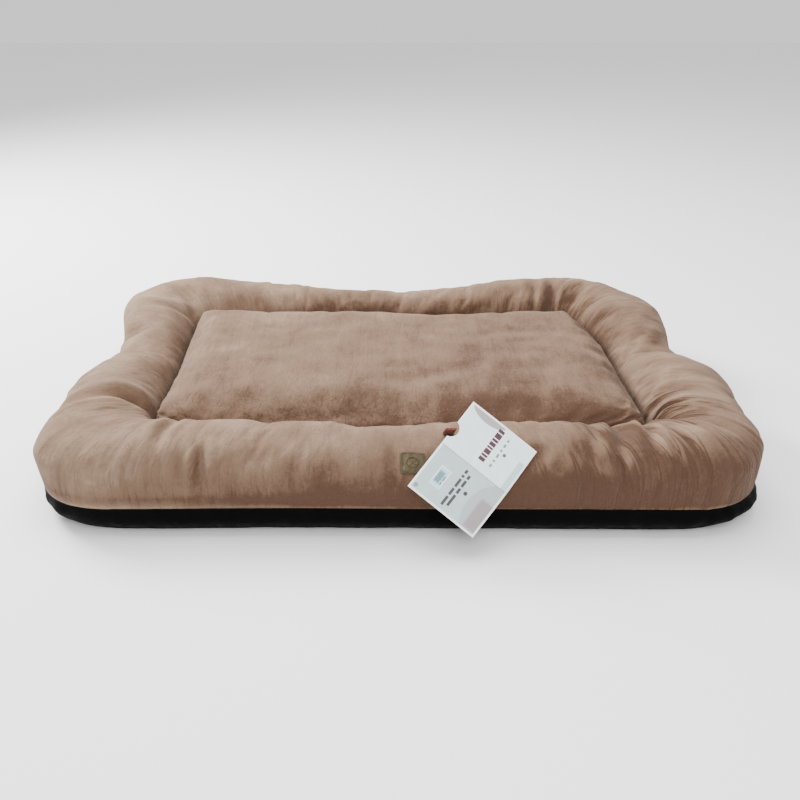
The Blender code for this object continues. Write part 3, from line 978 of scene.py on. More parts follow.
@dataclass
class Rim:
    """The stuffed plush rim round the bed, fuller at its four lobes."""

    plan: BedPlan
    columns: tuple[int, int, int] = (56, 156, 88)
    top_rows: int = 32
    under_rows: int = 8
    seam_inset: float = 0.002
    channel_gap: float = 0.0008
    seam_height: float = 0.037
    channel_height: float = 0.036
    crest: float = 0.101
    lobe_rise: float = 0.009
    back_rise: float = 0.005
    back_drop: float = 0.008
    back_tilt: float = 0.010
    fullness: float = 0.62
    overhang: tuple[float, float] = (0.060, 0.035)
    floor_gap: float = 0.0045
    lip: float = 0.0030
    fold_shade: float = 14.0
    gather_depth: float = 0.0030
    folds: tuple[Fold, ...] = (
        Fold((-0.330, -0.150), (-0.405, -0.172), 0.015, 0.011, 0.004, True),
        Fold((-0.395, -0.168), (-0.430, -0.180), 0.006, 0.010),
        Fold((0.322, -0.150), (0.392, -0.185), -0.006, 0.011, -0.004),
        Fold((0.318, -0.165), (0.372, -0.222), 0.004, 0.009),
        Fold((0.286, -0.205), (0.282, -0.292), -0.006, 0.007),
        Fold((0.268, -0.200), (0.262, -0.290), 0.006, 0.006, 0.002),
        Fold((0.300, -0.205), (0.300, -0.290), 0.005, 0.006),
        Fold((0.236, -0.215), (0.228, -0.292), 0.004, 0.006),
        Fold((0.248, 0.190), (0.262, 0.262), 0.010, 0.008, 0.003, True),
        Fold((0.226, 0.195), (0.232, 0.262), 0.007, 0.008, 0.0, True),
        Fold((0.288, 0.195), (0.330, 0.262), 0.007, 0.010, 0.0, True),
        Fold((-0.326, 0.170), (-0.400, 0.145), 0.008, 0.010, 0.0, True),
        Fold((-0.330, 0.186), (-0.385, 0.235), 0.007, 0.009, 0.004, True),
        Fold((-0.425, 0.105), (-0.370, 0.070), 0.006, 0.011),
        Fold((-0.262, -0.205), (-0.276, -0.285), 0.007, 0.007, 0.004),
        Fold((-0.225, -0.272), (-0.222, -0.322), 0.010, 0.006),
        Fold((0.000, -0.275), (-0.004, -0.312), 0.004, 0.006),
    )
    grid: np.ndarray = field(init=False)

    def turns(self) -> np.ndarray:
        """Places of the top's rows from the seam (0) to the channel (1), close together
        just above the seam."""
        near = np.array([0.0, 0.0012, 0.0036, 0.009, 0.019, 0.038])
        return np.concatenate([near, np.linspace(0.064, 1, self.top_rows - len(near))])

    def section(self) -> np.ndarray:
        """The rim before it is blown up.

        Over the top, a point's share of the way from seam to channel is (1 - cos(pi t)) / 2
        less an overhang times sin(2 pi t), and its height is a rounded power of sin(pi t).
        Underneath, the section runs back to the seam just above the base.

        Returns:
            Points as columns x rows x 3, rows closed round the section.
        """
        outer = self.plan.line(self.columns, self.seam_inset, False)
        inner = self.plan.line(self.columns, -self.channel_gap, True)
        lobe = self.plan.lobes(self.columns)[:, None]
        turn = self.turns()[None, :]
        swing = np.sin(TAU * turn)
        share = (1 - np.cos(math.pi * turn)) / 2 - np.where(
            swing > 0, self.overhang[0], self.overhang[1]) * swing
        rise = np.sin(math.pi * np.clip(turn, 0, 1)).clip(0) ** self.fullness
        behind = (outer[:, 1:] > 0) * (self.back_rise * lobe - self.back_drop * (1 - lobe)
                                       + self.back_tilt * outer[:, :1])
        crest = self.crest + self.lobe_rise * lobe + behind
        level = self.seam_height + (self.channel_height - self.seam_height) * share
        height = level + (crest - (self.seam_height + self.channel_height) / 2) * rise
        back = np.linspace(0, 1, self.under_rows + 2)[None, 1:-1]
        sink = np.clip(np.minimum(back, 1 - back) / 0.30, 0, 1)
        below = self.floor_gap + (self.channel_height - self.floor_gap) * (1 - sink) ** 2
        share = np.concatenate([share, 1 - back], axis=1)
        height = np.concatenate([height, np.broadcast_to(below, (len(outer), back.size))],
                                axis=1)
        flat = outer[:, None] * (1 - share[..., None]) + inner[:, None] * share[..., None]
        return np.concatenate([flat, height[..., None]], axis=2)

    def looseness(self) -> np.ndarray:
        """How free each row is: none at the seams and underneath, full over the crest."""
        top = np.clip(np.sin(math.pi * self.turns()) * 2.2, 0, 1)
        return np.concatenate([top, np.zeros(self.under_rows)])

    def cloth(self, grid: np.ndarray) -> np.ndarray:
        """Places on the rim's cloth: the edge's length wound once round a circle of the
        same length, and the length of the section from the seam.

        Args:
            grid: points as columns x rows x 3.

        Returns:
            Three numbers per point, with no jump where the ring closes.
        """
        middle = grid[:, :self.top_rows].mean(axis=1)
        step = np.linalg.norm(np.roll(middle, -1, axis=0) - middle, axis=1)
        length = np.concatenate([[0], np.cumsum(step)])
        angle = (length[:-1] / length[-1] * TAU)[:, None]
        radius = length[-1] / TAU
        climb = np.linalg.norm(np.diff(grid, axis=1), axis=2).mean(axis=0)
        rise = np.concatenate([[0], np.cumsum(climb)])[None, :]
        parts = np.broadcast_arrays(radius * np.cos(angle), radius * np.sin(angle), rise)
        return np.stack(parts, axis=2)

    def drawn(self, grid: np.ndarray) -> np.ndarray:
        """How tightly the cloth is gathered: deepest at the front right, strong in the
        lobes and near both seams, faint elsewhere.

        Args:
            grid: points as columns x rows x 3.

        Returns:
            One amount per point, 0 to about 1.5.
        """
        turn = np.concatenate([self.turns(), np.linspace(1, 0, self.under_rows + 2)[1:-1]])
        lobe = self.plan.lobes(self.columns)[:, None]
        strong = np.exp(-((grid[..., 0] - 0.285) / 0.085) ** 2) * (grid[..., 1] < -0.12)
        ends = (np.exp(-(turn / 0.30) ** 2) + np.exp(-((1 - turn) / 0.34) ** 2))[None, :]
        right = np.clip(0.5 + grid[..., 0] / 0.5, 0, 1)
        amount = 0.14 + (0.18 + 0.30 * right) * lobe + 1.3 * strong
        return amount * np.clip(0.25 + 0.75 * ends + 0.6 * strong, 0, 1.4)

    def gathers(self, grid: np.ndarray) -> tuple[np.ndarray, np.ndarray]:
        """Creases that run up from the seam and out from the channel.

        A slow wave along the cloth's edge crosses zero at uneven places; each crossing
        is a narrow valley, the bell of the wave's height.

        Args:
            grid: points as columns x rows x 3.

        Returns:
            One height per point, and how deep in a crease it is from 0 to 1.
        """
        turn = np.concatenate([self.turns(), np.linspace(1, 0, self.under_rows + 2)[1:-1]])
        turn = turn[None, :]
        place = self.cloth(grid) * np.array([1.0, 1.0, 0.16])
        amount = self.drawn(grid)
        wide = Waves(13, 0.035, 0.080, 36).at(place)
        narrow = Waves(14, 0.020, 0.042, 36).at(place + 3.0)
        crease = np.exp(-(wide / 0.30) ** 2) + 0.6 * np.exp(-(narrow / 0.34) ** 2)
        top = (np.arange(grid.shape[1])[None, :] < self.top_rows) * np.sin(
            math.pi * turn.clip(0, 1)) ** 0.5
        crease = crease * amount * top
        swell = 0.0009 * Waves(12, 0.025, 0.050, 30).at(place) * amount * top
        return swell - self.gather_depth * crease, crease

    def build(self, inflation: Inflation, material: bpy.types.Material,
              tag: "Tag") -> bpy.types.Object:
        """Blow up the rim, press in its dents, folds and gathers, and make room for the
        card that leans on it. Its stored nap gets painted light: a painted highlight on the
        lip along the seam, a band of painted shade above it, painted shade in creases and
        folds, and a painted highlight on ridges.

        Args:
            inflation: the cloth simulation.
            material: the plush.
            tag: the card.

        Returns:
            The finished piece.
        """
        grid = self.plan.settle(self.section())
        columns, rows = grid.shape[:2]
        piece = make_object("rim_plush", grid, ring_quads(columns, rows, True))
        loose = np.broadcast_to(self.looseness()[None, :], (columns, rows)).ravel()
        grid = inflation.blow(piece, loose).reshape(columns, rows, 3)
        normals = grid_normals(grid, True)
        pressed = sum(fold.height(grid) for fold in self.folds)
        push = pressed + 0.0022 * Waves(21, 0.09, 0.22).at(grid)
        push = push + 0.0008 * Waves(22, 0.028, 0.060).at(grid)
        height, crease = self.gathers(grid)
        push = push * self.looseness()[None, :] + height
        grid = tag.press(grid + normals * push[..., None])
        grid[..., 2] = np.maximum(grid[..., 2], self.floor_gap)
        self.grid = grid
        piece.data.vertices.foreach_set("co", grid.astype(np.float32).ravel())
        piece.data.update()
        # painted highlight on the rolled lip just above the seam, and a band of painted shade
        # above it where the rim curves in under its bulge
        above = grid[..., 2] - self.seam_height
        lip = (0.36 + 0.3 * grid[..., 0]) * np.exp(-(above / self.lip) ** 2)
        overhang_shade = 0.22 * np.exp(-((above - 4 * self.lip) / 0.007) ** 2)
        # painted shade in the creases of the gathers, on top of the painted light and the nap's
        # own patches
        nap_and_shade = painted_light_and_nap(grid, grid_normals(grid, True)) - 0.24 * crease + lip - overhang_shade
        # painted shade in the folds and a painted highlight on the ridges and swells beside them
        nap_and_shade = nap_and_shade + self.fold_shade * pressed * self.looseness()[None, :]
        brush(piece, nap_and_shade, self.drawn(grid), self.cloth(grid))
        subdivide(piece)
        return attach(piece, Body.BED, "plush", material, "top_cover")

    def spot(self, columns: np.ndarray, turns: np.ndarray) -> tuple[np.ndarray, np.ndarray]:
        """Places and normals on the rim's top between grid points, by weighted means.

        Args:
            columns: column numbers, fractions allowed.
            turns: places from the seam (0) to the channel (1).

        Returns:
            Positions and unit normals.
        """
        top = self.grid[:, :self.top_rows]
        normals = grid_normals(top, True)
        rows = np.interp(turns, self.turns(), np.arange(self.top_rows))
        column, row = np.floor(columns).astype(int), np.floor(rows).astype(int)
        row = np.minimum(row, self.top_rows - 2)
        right, up = (columns - column)[..., None], (rows - row)[..., None]
        near, after = column % len(top), (column + 1) % len(top)
        found = []
        for values in (top, normals):
            low = values[near, row] * (1 - right) + values[after, row] * right
            high = values[near, row + 1] * (1 - right) + values[after, row + 1] * right
            found.append(low * (1 - up) + high * up)
        return found[0], found[1] / np.linalg.norm(found[1], axis=-1, keepdims=True)

    def front_column(self, across: float) -> float:
        """Column number on the front side at a place along X."""
        corner, long_side, short_side = self.columns
        first = 3 * corner + long_side + short_side
        seam = self.grid[first:first + long_side, 0, 0]
        return first + float(np.interp(across, seam, np.arange(long_side)))


@dataclass
class Pad:
    """The crowned cushion in the middle, sewn down round its edge."""

    plan: BedPlan
    columns: tuple[int, int, int] = (28, 84, 56)
    channel_gap: float = 0.0008
    channel_height: float = 0.036
    crown: float = 0.059
    dome: float = 0.003
    back_rise: float = 0.005
    shoulder: float = 0.036
    roundness: float = 2.4
    floor_gap: float = 0.0045
    crowding: float = 0.75
    shades: tuple[tuple[float, ...], ...] = (
        (0.200, -0.110, 0.110, 0.09),
        (0.040, 0.080, 0.050, 0.07),
        (0.100, -0.020, 0.045, 0.05),
    )
    folds: tuple[Fold, ...] = (
        Fold((-0.322, 0.186), (-0.250, 0.150), 0.004, 0.010, 0.004, True),
        Fold((-0.322, -0.180), (-0.262, -0.140), 0.005, 0.010, 0.004, True),
        Fold((0.290, 0.186), (0.222, 0.150), 0.005, 0.010, 0.004, True),
        Fold((0.322, -0.180), (0.262, -0.140), 0.002, 0.010, 0.004, True),
        Fold((0.020, 0.100), (0.095, 0.010), 0.002, 0.012, 0.012),
        Fold((0.095, 0.030), (0.250, 0.060), 0.0018, 0.012, -0.010),
        Fold((-0.020, -0.100), (0.110, -0.060), 0.0018, 0.012, 0.012),
    )

    def flat(self) -> tuple[np.ndarray, np.ndarray]:
        """Points over the pad's plan, closer together near its edge.

        The four sides of the rounded rectangle are blended across it: the sum of the
        weighted mean of front and back and that of left and right, less the weighted
        mean of the corners.

        Returns:
            Points as columns x rows x 2, and each point's distance inside the edge.
        """
        edge = self.plan.line(self.columns, self.channel_gap, True)
        corner, long_side, short_side = self.columns
        edge = np.roll(edge, -(corner // 2), axis=0)
        wide, deep = long_side + corner, short_side + corner
        loop = np.concatenate([edge, edge[:1]])
        back = loop[:wide + 1][::-1]
        left = loop[wide:wide + deep + 1][::-1]
        front = loop[wide + deep:2 * wide + deep + 1]
        right = loop[2 * wide + deep:]
        spots = []
        for steps in (wide, deep):
            even = np.linspace(0, 1, steps + 1)
            spots.append(even * (1 - self.crowding)
                         + self.crowding * (1 - np.cos(math.pi * even)) / 2)

        def along(curve: np.ndarray, where: np.ndarray) -> np.ndarray:
            """Points of a side at new places along it."""
            numbers = np.linspace(0, 1, len(curve))
            return np.stack([np.interp(where, numbers, curve[:, axis]) for axis in (0, 1)], 1)

        front, back = along(front, spots[0]), along(back, spots[0])
        left, right = along(left, spots[1]), along(right, spots[1])
        a, b = spots[0][:, None, None], spots[1][None, :, None]
        flat = (1 - b) * front[:, None] + b * back[:, None]
        flat = flat + (1 - a) * left[None] + a * right[None]
        flat = flat - ((1 - a) * (1 - b) * front[0] + a * (1 - b) * front[-1]
                       + (1 - a) * b * back[0] + a * b * back[-1])
        radius = self.plan.pad_corner - self.channel_gap
        half = np.array([self.plan.pad_length, self.plan.pad_width]) / 2 - self.channel_gap
        over = np.abs(flat) - (half - radius)
        outside = np.linalg.norm(np.maximum(over, 0), axis=-1)
        inside = radius - outside - np.minimum(over.max(axis=-1), 0)
        return flat, np.maximum(inside, 0)

    def shape(self) -> tuple[np.ndarray, np.ndarray, np.ndarray]:
        """Crown the top and close it with a flat underside.

        The crown rises as a rounded power of the distance inside the edge over the
        shoulder's width, with a low dome across the whole and a lift towards the back.

        Returns:
            Points, quads, and the distance of each point of the top inside the edge.
        """
        flat, inside = self.flat()
        wide, deep = flat.shape[:2]
        part = np.clip(inside / self.shoulder, 0, 1)
        rise = (1 - (1 - part) ** self.roundness) ** (1 / self.roundness)
        reach = inside / inside.max()
        height = self.channel_height + self.crown * rise + self.dome * (1 - (1 - reach) ** 2)
        height = height + self.back_rise * rise * np.clip(flat[..., 1] / 0.19, 0, 1) ** 2
        sink = np.clip(inside / (0.6 * self.shoulder), 0, 1)
        under = self.floor_gap + (self.channel_height - self.floor_gap) * (1 - sink) ** 2
        top = np.concatenate([flat, height[..., None]], axis=2)
        bottom = np.concatenate([flat, under[..., None]], axis=2)
        number = np.arange(wide * deep).reshape(wide, deep)
        edge = np.zeros((wide, deep), dtype=bool)
        edge[[0, -1]] = edge[:, [0, -1]] = True
        lower = np.where(edge, number, 0)
        lower[~edge] = wide * deep + np.arange((~edge).sum())
        quads = sheet_quads(wide, deep)
        quads = np.concatenate([quads, lower.ravel()[quads][:, ::-1]])
        points = np.concatenate([top.reshape(-1, 3), bottom[~edge]])
        return self.plan.settle(points), quads, inside

    def build(self, inflation: Inflation, material: bpy.types.Material) -> bpy.types.Object:
        """Blow up the pad and crease it; its stored nap gets painted light like the rim's, with
        painted shade towards the right and front, and it is darker in a few round patches.

        Args:
            inflation: the cloth simulation.
            material: the plush.

        Returns:
            The finished piece.
        """
        points, quads, inside = self.shape()
        piece = make_object("pad_plush", points, quads)
        loose = np.zeros(len(points))
        loose[:inside.size] = np.clip(inside / 0.012, 0, 1).ravel()
        points = inflation.blow(piece, loose)
        top = points[:inside.size].reshape(*inside.shape, 3)
        free = np.clip(inside / 0.020, 0, 1)
        push = sum(fold.height(top) for fold in self.folds)
        push = push + 0.0016 * Waves(31, 0.10, 0.26).at(top) + 0.0007 * Waves(
            32, 0.030, 0.070).at(top)
        edge = np.exp(-((inside - 0.012) / 0.012) ** 2)
        push = push * free + 0.0008 * edge * Waves(33, 0.020, 0.050).at(top)
        push = push * (inside > 0)
        top = top + grid_normals(top, False) * push[..., None]
        points[:inside.size] = top.reshape(-1, 3)
        piece.data.vertices.foreach_set("co", points.astype(np.float32).ravel())
        piece.data.update()
        nap_and_shade = np.zeros(len(points))
        pad_nap_and_shade = painted_light_and_nap(top, grid_normals(top, False)) - 0.11
        pad_nap_and_shade = pad_nap_and_shade - 0.09 * top[..., 0] + 0.30 * top[..., 1]  # painted shade, with some darker nap, towards the right and front
        for place_x, place_y, reach, darker in self.shades:
            away = np.hypot(top[..., 0] - place_x, top[..., 1] - place_y)
            pad_nap_and_shade = pad_nap_and_shade - darker * np.exp(-(away / reach) ** 2)
        nap_and_shade[:inside.size] = pad_nap_and_shade.ravel()
        drawn = np.zeros(len(points))
        drawn[:inside.size] = (0.16 + 0.14 * np.exp(-(inside / 0.050) ** 2)).ravel()
        brush(piece, nap_and_shade, drawn, points[:, [0, 2, 1]])
        subdivide(piece)
        return attach(piece, Body.BED, "plush", material, "top_cover")


@dataclass
class Stuffing:
    """Loose fibre inside the rim and the pad, in the portions it was pushed in."""

    plan: BedPlan
    columns: tuple[int, int, int] = (20, 48, 32)
    fullness: float = 0.74
    lump: float = 0.0014
    end_steps: int = 4

    def build(self, material: bpy.types.Material) -> None:
        """Each portion of the rim is a run of its section drawn in towards its middle and
        rounded off at both ends; the centre is a smaller pad. All are lumpy.

        Args:
            material: the fibre.
        """
        section = Rim(self.plan, columns=self.columns, top_rows=16, under_rows=6).section()
        middle = section.mean(axis=1, keepdims=True)
        lumps = Waves(51, 0.012, 0.040)
        first = 0
        for number, corner in enumerate(Corner):
            side = ("back", "left", "front", "right")[number]
            portions = (("lobe_filling_" + corner.name.lower(), self.columns[0]),
                        ("rim_filling_" + side, self.columns[1 + number % 2]))
            for name, steps in portions:
                picked = np.arange(first, first + steps + 1) % len(section)
                ends = np.minimum(np.arange(steps + 1), steps - np.arange(steps + 1))
                taper = 1 - (1 - np.clip(ends / self.end_steps, 0, 1)) ** 2
                size = self.fullness * np.sqrt(taper)[:, None, None]
                grid = middle[picked] + (section[picked] - middle[picked]) * size
                grid = grid + (grid - middle[picked]) / 0.05 * (
                    self.lump * lumps.at(grid))[..., None]
                grid[..., 2] = np.maximum(grid[..., 2], 0.006)
                rows = grid.shape[1]
                quads = ring_quads(steps + 1, rows, True)[:steps * rows]
                piece = make_object(name + "_fibre", self.plan.settle(grid), quads, True)
                attach(piece, Body.BED, "fibre", material, name)
                first += steps
        centre = Pad(self.plan, columns=(12, 36, 24), channel_gap=0.008, crown=0.042,
                     dome=0.003, shoulder=0.044, floor_gap=0.0065)
        points, quads, _ = centre.shape()
        points[:, 2] += self.lump * (lumps.at(points) - 1) * (points[:, 2] > 0.012)
        piece = make_object("centre_filling_fibre", points, quads, True)
        attach(piece, Body.BED, "fibre", material, "centre_filling")


@dataclass
class Base:
    """The black woven base: a low wall under the seam and the whole underside."""

    plan: BedPlan
    columns: tuple[int, int, int] = (32, 96, 64)
    seam_inset: float = 0.002
    wall_rows: int = 16
    floor_rows: int = 12
    seam_height: float = 0.0366
    bulge: float = 0.005
    tuck: float = 0.013
    groove: float = 0.012
    groove_width: float = 0.010
    thickness: float = 0.0003

    def build(self, material: bpy.types.Material) -> bpy.types.Object:
        """The wall bows out under the seam and rolls in to the floor; the underside is
        flat but for a groove along the channel, where the base is sewn up to the plush.

        Args:
            material: the woven cloth.

        Returns:
            The finished piece.
        """
        outer = self.plan.line(self.columns, self.seam_inset, False)
        inner = self.plan.line(self.columns, 0.0, True)
        lobe = self.plan.lobes(self.columns)[:, None]
        middle = (outer + inner) / 2
        way = outer - middle
        length = np.linalg.norm(way, axis=1, keepdims=True)
        way = way / length
        turn = np.linspace(0, 1, self.wall_rows)[None, :]
        near = np.exp(-(np.hypot(outer[:, 0] - 0.43, outer[:, 1] + 0.22) / 0.10) ** 2)
        bulge = self.bulge * (1 + 0.9 * near)[:, None]
        inset = self.tuck * turn ** 3 - bulge * np.sin(math.pi * turn) ** 2
        wall = outer[:, None] - way[:, None] * inset[..., None]
        drop = self.seam_height * (1 - turn ** 1.15)
        height = np.broadcast_to(drop, (len(outer), self.wall_rows)) + self.thickness * turn
        pleat = Waves(41, 0.016, 0.034, 30).at(np.broadcast_to(
            np.concatenate([wall[:, :1], np.zeros((len(outer), 1, 1))], axis=2),
            (len(outer), self.wall_rows, 3)))
        fold = 0.0007 * pleat * (0.5 + lobe) * np.sin(math.pi * turn) ** 0.7
        wall = wall + way[:, None] * fold[..., None]
        start = outer - way * self.tuck
        share = np.linspace(0, 1, self.floor_rows + 1)[None, 1:, None]
        floor = start[:, None] * (1 - share) + inner[:, None] * share
        gap = np.linalg.norm(floor - inner[:, None], axis=2)
        lift = self.thickness + self.groove * np.exp(-(gap / self.groove_width) ** 2)
        ring = np.concatenate([
            np.concatenate([wall, height[..., None]], axis=2),
            np.concatenate([floor, lift[..., None]], axis=2)], axis=1)
        pad = Pad(self.plan, self.columns, channel_gap=0.0)
        flat, inside = pad.flat()
        lift = self.thickness + self.groove * np.exp(-(inside / self.groove_width) ** 2)
        under = np.concatenate([flat, lift[..., None]], axis=2)
        ring_faces = ring_quads(*ring.shape[:2], False)
        pad_faces = sheet_quads(*under.shape[:2])[:, ::-1] + ring[..., 0].size
        points = np.concatenate([ring.reshape(-1, 3), under.reshape(-1, 3)])
        points = self.plan.settle(points)
        points[:, 2] += 0.0004 * Waves(42, 0.03, 0.08).at(points) * (points[:, 2] < 0.002)
        points[:, 2] = np.maximum(points[:, 2], self.thickness)
        piece = make_object("base_fabric", points,
                            np.concatenate([ring_faces[:, ::-1], pad_faces]), True)
        return attach(piece, Body.BED, "base_fabric", material, "base_cover")


@dataclass
class SeamAllowance:
    """The two cloth edges sewn together inside the seam."""

    plan: BedPlan
    columns: tuple[int, int, int] = (24, 72, 48)
    inset: float = 0.0064
    reach: float = 0.0040
    half_height: float = 0.0013
    level: float = 0.0368
    rows: int = 10

    def build(self, material: bpy.types.Material) -> bpy.types.Object:
        """A flat oval carried round the seam, rippled a little by the stitches.

        Args:
            material: the woven cloth.

        Returns:
            The finished piece.
        """
        lines = [self.plan.line(self.columns, self.inset + side * self.reach, False)
                 for side in (-1, 1)]
        angle = np.arange(self.rows) / self.rows * TAU
        share = ((1 - np.cos(angle)) / 2)[None, :, None]
        flat = lines[0][:, None] * (1 - share) + lines[1][:, None] * share
        height = np.broadcast_to(self.level - self.half_height * np.sin(angle),
                                 flat.shape[:2])
        grid = self.plan.settle(np.concatenate([flat, height[..., None]], axis=2))
        grid[..., 2] += 0.0003 * Waves(61, 0.012, 0.03).at(grid)
        piece = make_object("seam_allowance", grid, ring_quads(len(grid), self.rows, True),
                            True)
        return attach(piece, Body.BED, "base_fabric", material, "perimeter_seam_allowance")


def stitches(name: str, centres: np.ndarray, ways: np.ndarray, ups: np.ndarray,
             length: float, radius: float) -> bpy.types.Object:
    """Short rounded stitches in one mesh: a capsule copied to every place.

    The capsule's radius falls to nothing at its ends as the square root of 1 - s^4.

    Args:
        name: the piece's name.
        centres: middle of each stitch.
        ways: unit direction of each stitch.
        ups: unit normal of the cloth under each stitch.
        length: length of a stitch.
        radius: half its thickness.

    Returns:
        The object.
    """
    along = np.array([-1.0, -0.93, -0.7, 0.0, 0.7, 0.93, 1.0])
    angle = np.arange(7) / 7 * TAU
    girth = radius * np.sqrt(1 - along ** 4)
    sides = np.cross(ways, ups)
    sides /= np.linalg.norm(sides, axis=1, keepdims=True)
    ups = np.cross(sides, ways)
    arch = radius * (1 - along ** 2)
    points = (centres[:, None, None] + ways[:, None, None] * (along * length / 2)[:, None, None]
              + sides[:, None, None] * (girth[:, None] * np.cos(angle))[..., None]
              + ups[:, None, None] * (girth[:, None] * np.sin(angle) + arch[:, None])[..., None])
    one = ring_quads(len(angle), len(along), False)
    one = (one % len(along)) * len(angle) + one // len(along)
    many = one[None] + (np.arange(len(centres)) * along.size * angle.size)[:, None, None]
    return make_object(name, points, many.reshape(-1, 4), True)


@dataclass
class ChannelThread:
    """Stitches that hold the plush down to the base along the channel."""

    plan: BedPlan
    pitch: float = 0.0052
    length: float = 0.0040
    radius: float = 0.00055
    level: float = 0.0372
    under: float = 0.0128

    def build(self, material: bpy.types.Material) -> bpy.types.Object:
        """Even stitches along the channel line, above and again under the base.

        Args:
            material: the thread.

        Returns:
            The finished piece.
        """
        line = self.plan.line((30, 120, 80), 0.0, True)
        line = self.plan.settle(np.concatenate([line, np.zeros((len(line), 1))], axis=1))
        loop = np.concatenate([line, line[:1]])
        run = np.concatenate([[0], np.cumsum(np.linalg.norm(np.diff(loop, axis=0), axis=1))])
        count = int(run[-1] / self.pitch)
        spots = np.arange(count) * run[-1] / count
        here, after = (np.stack([np.interp((spots + step) % run[-1], run, loop[:, axis])
                                 for axis in range(3)], axis=1) for step in (0.0, 0.001))
        way = (after - here) / np.linalg.norm(after - here, axis=1, keepdims=True)
        up = np.zeros_like(here)
        up[:, 2] = 1.0
        high, low = here + up * self.level, here + up * self.under
        piece = stitches("channel_thread", np.concatenate([high, low]),
                         np.concatenate([way, way]), np.concatenate([up, -up]),
                         self.length, self.radius)
        return attach(piece, Body.BED, "thread", material, "channel_stitching")


@dataclass
class Patch:
    """Pressed patch sewn to the front of the rim."""

    rim: Rim
    across: float = 0.0205
    turn: float = 0.262
    half: tuple[float, float] = (0.0150, 0.0133)
    cells: int = 90
    thickness: float = 0.0012
    corner_pull: float = 0.10
    stitch_place: float = 0.87

    def surface(self, a: np.ndarray, b: np.ndarray) -> tuple[np.ndarray, np.ndarray]:
        """Places and normals on the rim under the patch.

        Args:
            a: place across the patch, -1 to 1.
            b: place up the patch, -1 to 1.

        Returns:
            Positions on the plush and its unit normals.
        """
        column = self.rim.front_column(self.across)
        spots = self.rim.spot(np.array([column, column + 1, column]),
                              np.array([self.turn, self.turn, self.turn + 0.02]))[0]
        per_column = np.linalg.norm(spots[1] - spots[0])
        per_turn = np.linalg.norm(spots[2] - spots[0]) / 0.02
        square = (a * np.sqrt(1 - self.corner_pull * b ** 2),
                  b * np.sqrt(1 - self.corner_pull * a ** 2))
        return self.rim.spot(column + square[0] * self.half[0] / per_column,
                             self.turn + square[1] * self.half[1] / per_turn)

    def build(self, leather: bpy.types.Material, thread: bpy.types.Material) -> None:
        """A bent plate with a pressed border and a raised five-petalled rosette.

        Args:
            leather: the patch's material.
            thread: the stitches' material.
        """
        even = np.linspace(-1, 1, self.cells)
        a, b = np.meshgrid(even, even, indexing="ij")
        place, normal = self.surface(a, b)
        normal = normal.mean(axis=(0, 1))
        normal /= np.linalg.norm(normal)
        edge = np.maximum(np.abs(a), np.abs(b))
        radius, angle = np.hypot(a, b), np.arctan2(b, a)
        petals = 0.30 * (1 + 0.35 * np.cos(5 * angle + 0.9))
        height = 0.00035 * np.exp(-((radius - 0.58) / 0.05) ** 2)
        height += 0.00040 / (1 + np.exp((radius - petals) / 0.03))
        height -= 0.00030 * np.exp(-(radius / 0.08) ** 2)
        height -= 0.00035 * np.exp(-((edge - self.stitch_place) / 0.035) ** 2)
        height -= 0.0006 * np.clip((edge - 0.955) / 0.045, 0, 1) ** 2
        grid = place + normal * (self.thickness + 0.0004 + height)[..., None]
        piece = make_object("patch_leather", grid, sheet_quads(self.cells, self.cells))
        layer = piece.data.attributes.new("press", "FLOAT", "POINT")
        sunk = (0.80 * np.exp(-((radius - 0.46) / 0.07) ** 2)
                + 0.75 * np.exp(-((edge - self.stitch_place) / 0.05) ** 2)
                + 0.60 * np.exp(-(radius / 0.10) ** 2))
        layer.data.foreach_set("value", np.clip(sunk, 0, 1).astype(np.float32).ravel())
        thicken(piece, self.thickness)
        attach(piece, Body.BED, "patch_leather", leather, "patch_label")
        count = 44
        spot = np.arange(count) / count * 4
        side, part = spot.astype(int), (spot % 1) * 2 - 1
        track = self.stitch_place
        a = np.choose(side, [part, np.ones(count), -part, -np.ones(count)]) * track
        b = np.choose(side, [-np.ones(count), part, np.ones(count), -part]) * track
        step = 0.02
        ahead_a = a + step * np.choose(side, [1, 0, -1, 0])
        ahead_b = b + step * np.choose(side, [0, 1, 0, -1])
        here, ahead = self.surface(a, b)[0], self.surface(ahead_a, ahead_b)[0]
        way = (ahead - here) / np.linalg.norm(ahead - here, axis=1, keepdims=True)
        up = np.broadcast_to(normal, here.shape)
        piece = stitches("patch_thread", here + up * (self.thickness + 0.0003), way, up,
                         0.0021, 0.00032)
        attach(piece, Body.BED, "thread", thread, "patch_stitching")


